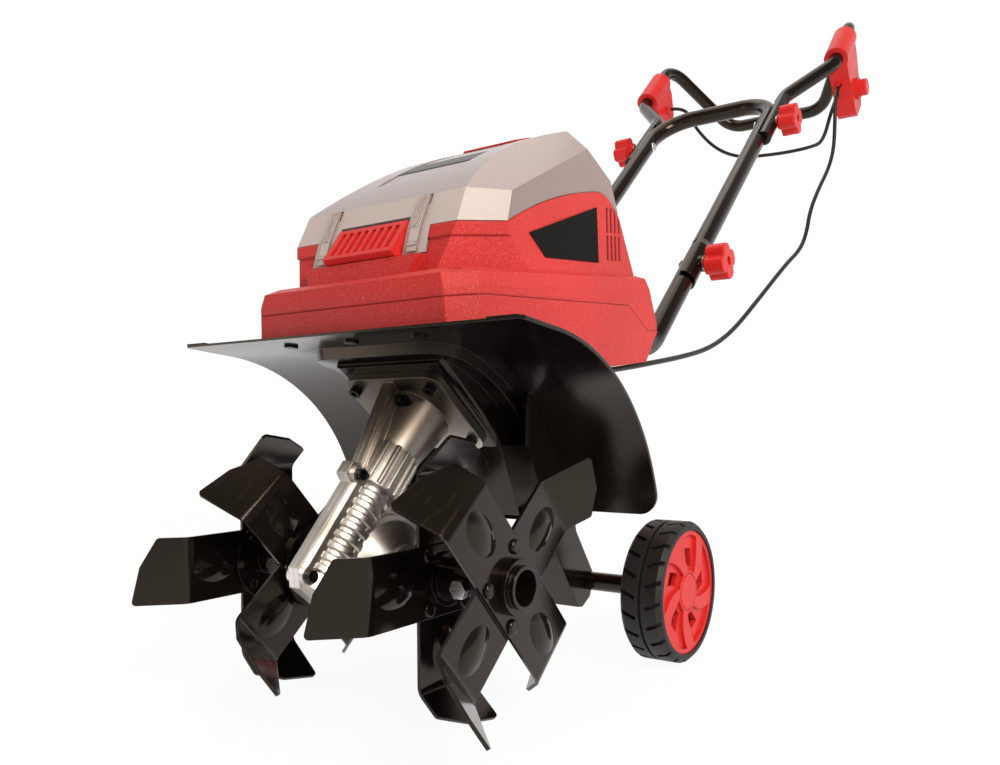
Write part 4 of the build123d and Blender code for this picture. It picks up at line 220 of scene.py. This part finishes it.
def frosted(name, clear, milky_and_lit, sheer, rough, grain, edge, ior):
    """Frosted clear plastic: etched, milk-pale and lighter where it faces the front, partly frosting and
    partly painted light; hazy, smoother and darker elsewhere.
    """
    s = Shade(name)
    etch = s.noise(LID_ETCH, 2.0)
    fleck = s.noise(LID_FLECK, 3.0)
    facing = s.node("ShaderNodeNewGeometry", out="Normal")
    sideways = abs(s.part(facing, 0))
    backwards = s.part(facing, 1)
    # Painted light: faces leaning to the front in the world get the pale colour and pale flecks, the others
    # the darker clear colour.
    front = (sideways * SIDE_LEAN - backwards * FRONT_LEAN).ramp(*MILKY_AND_LIT_SPAN)
    flecked = fleck.ramp(0.45, 0.70) * 0.5 * front
    return s.finish(
        Base_Color=s.blend(flecked, s.blend(front, clear, milky_and_lit), FLECK_COLOUR),
        Roughness=rough + front * MILKY_ROUGHER + etch.swing(0.16),
        Transmission_Weight=sheer,
        IOR=ior,
        Normal=s.relief(etch, grain, edge),
    )


def painted(name, colour, warm, rough, peel, edge, ior):
    """Stove paint over sheet: rounded edges, orange peel, faint flow marks and hair scratches."""
    s = Shade(name)
    skin = s.noise(PAINT_SKIN, 2.0)
    drift = s.noise(PAINT_DRIFT, 3.0)
    hair = s.noise(PAINT_HAIR, 3.0, s.stretched(HAIR_STRETCH))
    return s.finish(
        Base_Color=s.blend(drift.ramp(0.35, 0.7), colour, warm),
        Roughness=rough + hair.ramp(0.58, 0.72) * 0.10 + drift.swing(0.06),
        IOR=ior,
        Specular_Tint=rgba(PAINT_GLEAM),
        Normal=s.relief(skin, peel, edge),
    )


def metal(name, colour, dull, rough, grain, pits, edge, painted_shade_above=None):
    """Bare metal: cast skin or plating with fine grain, dulled patches and, where asked, painted shade above
    a height.
    """
    s = Shade(name)
    skin = s.noise(grain, 4.0, rough=0.65)
    patch = s.noise(METAL_PATCH, 4.0)
    tint = s.blend(patch.ramp(0.35, 0.75), colour, dull)
    # Painted shade: above a height the colour turns to a darker, warmer tone that stands in for the shadow
    # the guard casts on the gear case.
    if painted_shade_above:
        low, high, painted_shade_colour = painted_shade_above
        tint = s.blend(s.part(s.place, 2).ramp(low, high), tint, painted_shade_colour)
    return s.finish(
        Base_Color=tint,
        Metallic=1.0,
        Roughness=rough + patch.swing(0.16) + skin.swing(0.14),
        Normal=s.relief(skin, pits, edge),
    )


def rubber(name, colour, worn, rough, grain):
    """Rubber: fine pebbled skin, bloom in slow clouds."""
    s = Shade(name)
    pebble = s.noise(grain, 2.0)
    bloom = s.noise(RUBBER_BLOOM, 4.0)
    return s.finish(
        Base_Color=s.blend(bloom.ramp(0.42, 0.75), colour, worn),
        Roughness=rough + bloom.swing(0.16),
        IOR=1.4,
        Normal=s.relief(pebble, PEBBLE_DEPTH, RUBBER_EDGE),
    )


# One finish for each material slot of the CAD part. Depths and edge radii are in metres.
FINISH = {
    "red_plastic": moulded(
        "red_plastic",
        colour=(0.57, 0.020, 0.018),
        deep=(0.50, 0.017, 0.016),
        rough=0.46,
        grain=0.00014,
        edge=0.0028,
        # Painted highlight: pale glint specks in the colour.
        painted_glint=0.26,
        ior=1.40,
    ),
    "red_gloss": moulded(
        "red_gloss",
        colour=(0.66, 0.026, 0.023),
        deep=(0.60, 0.022, 0.020),
        rough=0.34,
        grain=0.00004,
        edge=0.0014,
        ior=1.28,
    ),
    "clear_plastic": frosted(
        "clear_plastic",
        # Painted light: the pale colour goes on faces leaning to the front, the darker clear one on the
        # rest.
        clear=(0.44, 0.34, 0.33),
        milky_and_lit=(0.90, 0.79, 0.75),
        sheer=0.45,
        rough=0.22,
        grain=0.00006,
        edge=0.0012,
        ior=1.46,
    ),
    "black_label": moulded(
        "black_label",
        colour=(0.006, 0.0056, 0.0052),
        deep=(0.005, 0.0046, 0.0044),
        rough=0.6,
        grain=0.00003,
        edge=0.0004,
        ior=1.18,
    ),
    "black_plastic": moulded(
        "black_plastic",
        colour=(0.016, 0.014, 0.013),
        deep=(0.012, 0.011, 0.010),
        rough=0.42,
        grain=0.00010,
        edge=0.0010,
    ),
    "black_paint": painted(
        "black_paint",
        colour=(0.0040, 0.0032, 0.0028),
        warm=(0.0062, 0.005, 0.0044),
        rough=0.11,
        peel=0.00004,
        edge=0.0012,
        ior=1.45,
    ),
    "cast_aluminium": metal(
        "cast_aluminium",
        colour=(0.78, 0.74, 0.69),
        dull=(0.60, 0.56, 0.52),
        rough=0.36,
        grain=900.0,
        pits=0.00009,
        edge=0.0014,
        # Painted shade: darker and warmer above this height, for the guard's shadow on the neck and flange.
        painted_shade_above=(0.185, 0.245, (0.20, 0.165, 0.135)),
    ),
    "motor_steel": metal(
        "motor_steel",
        colour=(0.55, 0.54, 0.53),
        dull=(0.46, 0.45, 0.44),
        rough=0.32,
        grain=700.0,
        pits=0.00004,
        edge=0.0005,
    ),
    "bronze": metal(
        "bronze",
        colour=(0.62, 0.42, 0.18),
        dull=(0.50, 0.33, 0.14),
        rough=0.30,
        grain=800.0,
        pits=0.00004,
        edge=0.0003,
    ),
    "black_screws": metal(
        "black_screws",
        colour=(0.032, 0.030, 0.028),
        dull=(0.020, 0.019, 0.018),
        rough=0.34,
        grain=900.0,
        pits=0.00003,
        edge=0.0005,
    ),
    "zinc": metal(
        "zinc",
        colour=(0.74, 0.73, 0.71),
        dull=(0.60, 0.59, 0.57),
        rough=0.22,
        grain=900.0,
        pits=0.00003,
        edge=0.0005,
    ),
    "seal_rubber": rubber(
        "seal_rubber",
        colour=(0.014, 0.013, 0.012),
        worn=(0.022, 0.021, 0.020),
        rough=0.55,
        grain=900.0,
    ),
    "tyre_rubber": rubber(
        "tyre_rubber",
        colour=(0.012, 0.010, 0.009),
        worn=(0.022, 0.019, 0.017),
        rough=0.55,
        grain=700.0,
    ),
    "cable_black": rubber(
        "cable_black",
        colour=(0.010, 0.009, 0.008),
        worn=(0.018, 0.016, 0.015),
        rough=0.38,
        grain=2600.0,
    ),
}

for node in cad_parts.values():
    for holder in node.material_slots:
        holder.material = FINISH[holder.material.name]


def row_point(point):
    """A point in millimetres from the tine axis, as a place in the row frame."""
    return Vector(point) * MILLIMETRE + TINE_AXIS


# Arch of the lid's roof and the thin strips on it, in millimetres from the tine axis.
ROOF_MIDDLE = (345.7145, -141.7363)
ROOF_RADIUS = 544.5746
STRIP_STEPS = 12


def roof_spot(across, y, raised):
    """A point of the roof's arch, moved outwards by raised."""
    reach = ROOF_RADIUS + raised
    return row_point((across, y, ROOF_MIDDLE[1] + (reach ** 2 - (y - ROOF_MIDDLE[0]) ** 2) ** 0.5))


def roof_strip(name, half_width, front, length, raised, thick, slot):
    """A thin strip on the lid, bent to the arch of the roof, with its top raised above it."""
    form = bmesh.new()
    bmesh.ops.create_grid(form, x_segments=2, y_segments=STRIP_STEPS, size=1.0)
    below = bmesh.ops.extrude_face_region(form, geom=form.faces[:])["geom"]
    low = {corner for corner in below if isinstance(corner, bmesh.types.BMVert)}
    for corner in form.verts:
        along = front + length * (corner.co.y + 1.0) / 2
        lift = raised - thick if corner in low else raised
        corner.co = roof_spot(corner.co.x * half_width, along, lift)
    bmesh.ops.recalc_face_normals(form, faces=form.faces[:])
    mesh = bpy.data.meshes.new(name)
    form.to_mesh(mesh)
    form.free()
    piece = bpy.data.objects.new(name, mesh)
    bpy.context.scene.collection.objects.link(piece)
    mesh.materials.append(FINISH[slot])
    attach(piece, "lid")


roof_strip(
    "lid_plate",
    half_width=45.5,
    front=120.5,
    length=29.0,
    raised=-0.2,
    thick=0.6,
    slot="black_plastic",
)
roof_strip(
    "lid_trim_lip",
    half_width=34.0,
    front=210.0,
    length=27.0,
    raised=1.7,
    thick=1.9,
    slot="red_gloss",
)

# Cables: diameter in metres, the routes' points in millimetres from the tine axis.
CABLE_DIAMETER = 0.006
LOWER_ROUTE = (
    (95, 230, 150),
    (95, 285, 150),
    (104, 348, 152.5),
    (110, 406, 155),
    (116, 467, 160),
    (121, 514, 171),
    (125, 560, 188),
    (131.6, 621, 219),
    (137, 676, 247),
)
UPPER_ROUTE = (
    (137, 676, 247),
    (141.86, 725.5, 272.2),
    (148, 778, 295),
    (150.5, 806, 322),
    (152, 824, 356),
    (156, 861, 392),
    (161, 906, 428),
    (164, 932, 462),
    (166, 938, 503),
    (168, 937.508, 546.332),
    (168, 972.210, 573.383),
)
LINK_ROUTE = (
    (-152.5, 990.34, 598.93),
    (-116.5, 990.34, 598.93),
    (-97, 985, 556),
    (-62, 990, 512),
    (-20, 998, 490),
    (28, 1006, 487),
    (72, 1003, 485),
    (110, 990, 484),
    (138, 968, 484),
    (161, 938.496, 525.553),
    (161, 982.662, 559.982),
)


def route_curve(name, route, thick):
    """A NURBS line led by a route's points, with a round section if thick."""
    data = bpy.data.curves.new(name, "CURVE")
    data.dimensions = "3D"
    data.resolution_u = 12
    line = data.splines.new("NURBS")
    line.points.add(len(route) - 1)
    for spot, point in zip(line.points, route):
        spot.co = (*row_point(point), 1.0)
    line.order_u = 3
    line.use_endpoint_u = True
    if thick:
        data.bevel_depth = CABLE_DIAMETER / 2
        data.bevel_resolution = 6
        data.use_fill_caps = True
    return data


def curve_mesh(name, route, thick):
    """The mesh of a route's line or tube; the curve itself is deleted."""
    carrier = bpy.data.objects.new(name, route_curve(name, route, thick))
    bpy.context.scene.collection.objects.link(carrier)
    bpy.context.view_layer.update()
    mesh = bpy.data.meshes.new_from_object(carrier.evaluated_get(bpy.context.evaluated_depsgraph_get()))
    data = carrier.data
    bpy.data.objects.remove(carrier)
    bpy.data.curves.remove(data)
    return mesh


def cable_tube(name, node, route):
    """A round cable as a mesh tube in place of a CAD node, and the points it follows."""
    tube = curve_mesh(name, route, True)
    tube.name = name
    for face in tube.polygons:
        face.use_smooth = True
    line = curve_mesh(name + "_line", route, False)
    path = [tuple(corner.co) for corner in line.vertices]
    bpy.data.meshes.remove(line)
    piece = bpy.data.objects.new(name, tube)
    bpy.context.scene.collection.objects.link(piece)
    tube.materials.clear()
    tube.materials.append(FINISH["cable_black"])
    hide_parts(node)
    return piece, path


lower_cable, lower_path = cable_tube("cable_run_lower", "main_cable_lower", LOWER_ROUTE)
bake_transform(lower_cable)
upper_cable, upper_path = cable_tube("cable_run_upper", "main_cable_upper", UPPER_ROUTE)
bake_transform(upper_cable)
link_cable = bpy.data.objects.new("cable_link", route_curve("cable_link", LINK_ROUTE, True))
bpy.context.scene.collection.objects.link(link_cable)
link_cable.data.materials.append(FINISH["cable_black"])
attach(link_cable, "top_handle")
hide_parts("link_cable")

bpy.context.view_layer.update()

# Studio, in metres: the way from the camera's side towards the bright paper behind the object, the two tones
# and where one turns into the other.
ROOM_AHEAD = (-0.543, 0.840, 0.0)
ROOM_TONE = (0.27, 0.24, 0.215)
WALL_TONE = (1.05, 1.05, 1.05)
WALL_SPAN = (0.10, 0.60)

# Floor: its half width, the share of its own light under the object and how far out that becomes all of it,
# the strength of that light, and how dim and how far ahead the camera's side of the floor is.
FLOOR_HALF = 40.0
FLOOR_GLOW = 0.92
FLOOR_REACH = (0.9, 2.2)
FLOOR_LIGHT = 1.02
FLOOR_DIM = 0.86
FLOOR_FRONT = (-1.05, -0.66)
FLOOR_WHITE = (0.92, 0.92, 0.92)
FLOOR_PALER = (0.94, 0.94, 0.94)
PURE_WHITE = (1.0, 1.0, 1.0)
LAMP_COLOUR = (1.0, 0.91, 0.82)


def studio_floor():
    """A wide white floor: paper under the object, running out into plain bright white."""
    form = bmesh.new()
    bmesh.ops.create_grid(form, x_segments=2, y_segments=2, size=FLOOR_HALF)
    mesh = bpy.data.meshes.new("studio_floor")
    form.to_mesh(mesh)
    form.free()
    s = Shade("studio_white")
    paper = s.noise(30.0, 3.0)
    reach = s.node("ShaderNodeVectorMath", {0: s.place}, out="Value", operation="LENGTH")
    white = s.finish(Base_Color=s.blend(paper, FLOOR_WHITE, FLOOR_PALER), Roughness=0.85)
    lit = s.along(s.place, ROOM_AHEAD).ramp(*FLOOR_FRONT) * (1.0 - FLOOR_DIM) + FLOOR_DIM
    glow = s.node("ShaderNodeEmission", {"Color": rgba(PURE_WHITE), "Strength": lit * FLOOR_LIGHT})
    matt = Field(s, s.tree.nodes["Principled BSDF"].outputs[0])
    share = FLOOR_GLOW + reach.ramp(*FLOOR_REACH) * (1.0 - FLOOR_GLOW)
    whole = s.node("ShaderNodeMixShader", {0: share, 1: matt, 2: glow})
    s.feed(s.tree.nodes["Material Output"].inputs["Surface"], whole)
    mesh.materials.append(white)
    floor = bpy.data.objects.new("studio_floor", mesh)
    bpy.context.scene.collection.objects.link(floor)


def soft_box(name, place, aim, size, power):
    """A warm rectangular lamp at a place, turned to what it lights."""
    lamp = bpy.data.lights.new(name, "AREA")
    lamp.shape = "RECTANGLE"
    lamp.size, lamp.size_y = size
    lamp.energy = power
    lamp.color = LAMP_COLOUR
    holder = bpy.data.objects.new(name, lamp)
    holder.location = place
    holder.rotation_euler = (Vector(aim) - Vector(place)).to_track_quat("-Z", "Y").to_euler()
    bpy.context.scene.collection.objects.link(holder)


def studio_air():
    """Bright paper behind the object and a dim room in front of it."""
    world = bpy.data.worlds.new("studio_air")
    world.use_nodes = True
    air = Nodes(world.node_tree)
    facing = air.along(air.node("ShaderNodeTexCoord", out="Generated"), ROOM_AHEAD)
    tone = air.blend(facing.ramp(*WALL_SPAN), ROOM_TONE, WALL_TONE)
    air.feed(air.tree.nodes["Background"].inputs["Color"], tone)
    bpy.context.scene.world = world


studio_floor()
soft_box("overhead", place=(-0.1, 0.0, 2.3), aim=(0.0, -0.1, 0.2), size=(1.6, 2.2), power=16.0)
soft_box("right_side", place=(1.7, -1.0, 1.3), aim=(0.1, -0.3, 0.35), size=(0.8, 1.2), power=40.0)
soft_box("front_left", place=(-1.5, -1.7, 0.6), aim=(0.0, -0.4, 0.25), size=(0.5, 1.4), power=3.0)
studio_air()
bpy.context.scene.view_settings.view_transform = "Standard"

# Camera, from the lines of the tubes, wheels and guard in the picture; lens and sensor in millimetres.
CAMERA_PLACE = (0.5202, -1.02602, 0.30426)
TURN = radians(32.88)
PITCH = radians(-5.57)
ROLL = radians(-3.99)
FOCAL_LENGTH = 30.14
SENSOR_WIDTH = 36.0
SHIFT_ACROSS = -0.0577
SHIFT_UP = 0.0391
NEAREST_SEEN = 0.05


def camera_axes():
    """The camera's right, up and backward directions."""
    ahead = Vector((-sin(TURN), cos(TURN), 0))
    right = Vector((cos(TURN), sin(TURN), 0))
    look = ahead * cos(PITCH) + Vector((0, 0, sin(PITCH)))
    up = Vector((0, 0, cos(PITCH))) - ahead * sin(PITCH)
    return right * cos(ROLL) + up * sin(ROLL), up * cos(ROLL) - right * sin(ROLL), -look


lens = bpy.data.cameras.new("studio_camera")
lens.lens = FOCAL_LENGTH
lens.sensor_width = SENSOR_WIDTH
lens.shift_x = SHIFT_ACROSS
lens.shift_y = SHIFT_UP
lens.clip_start = NEAREST_SEEN
camera = bpy.data.objects.new("studio_camera", lens)
camera.matrix_world = Matrix.Translation(CAMERA_PLACE) @ Matrix(camera_axes()).transposed().to_4x4()
bpy.context.scene.collection.objects.link(camera)
bpy.context.scene.camera = camera
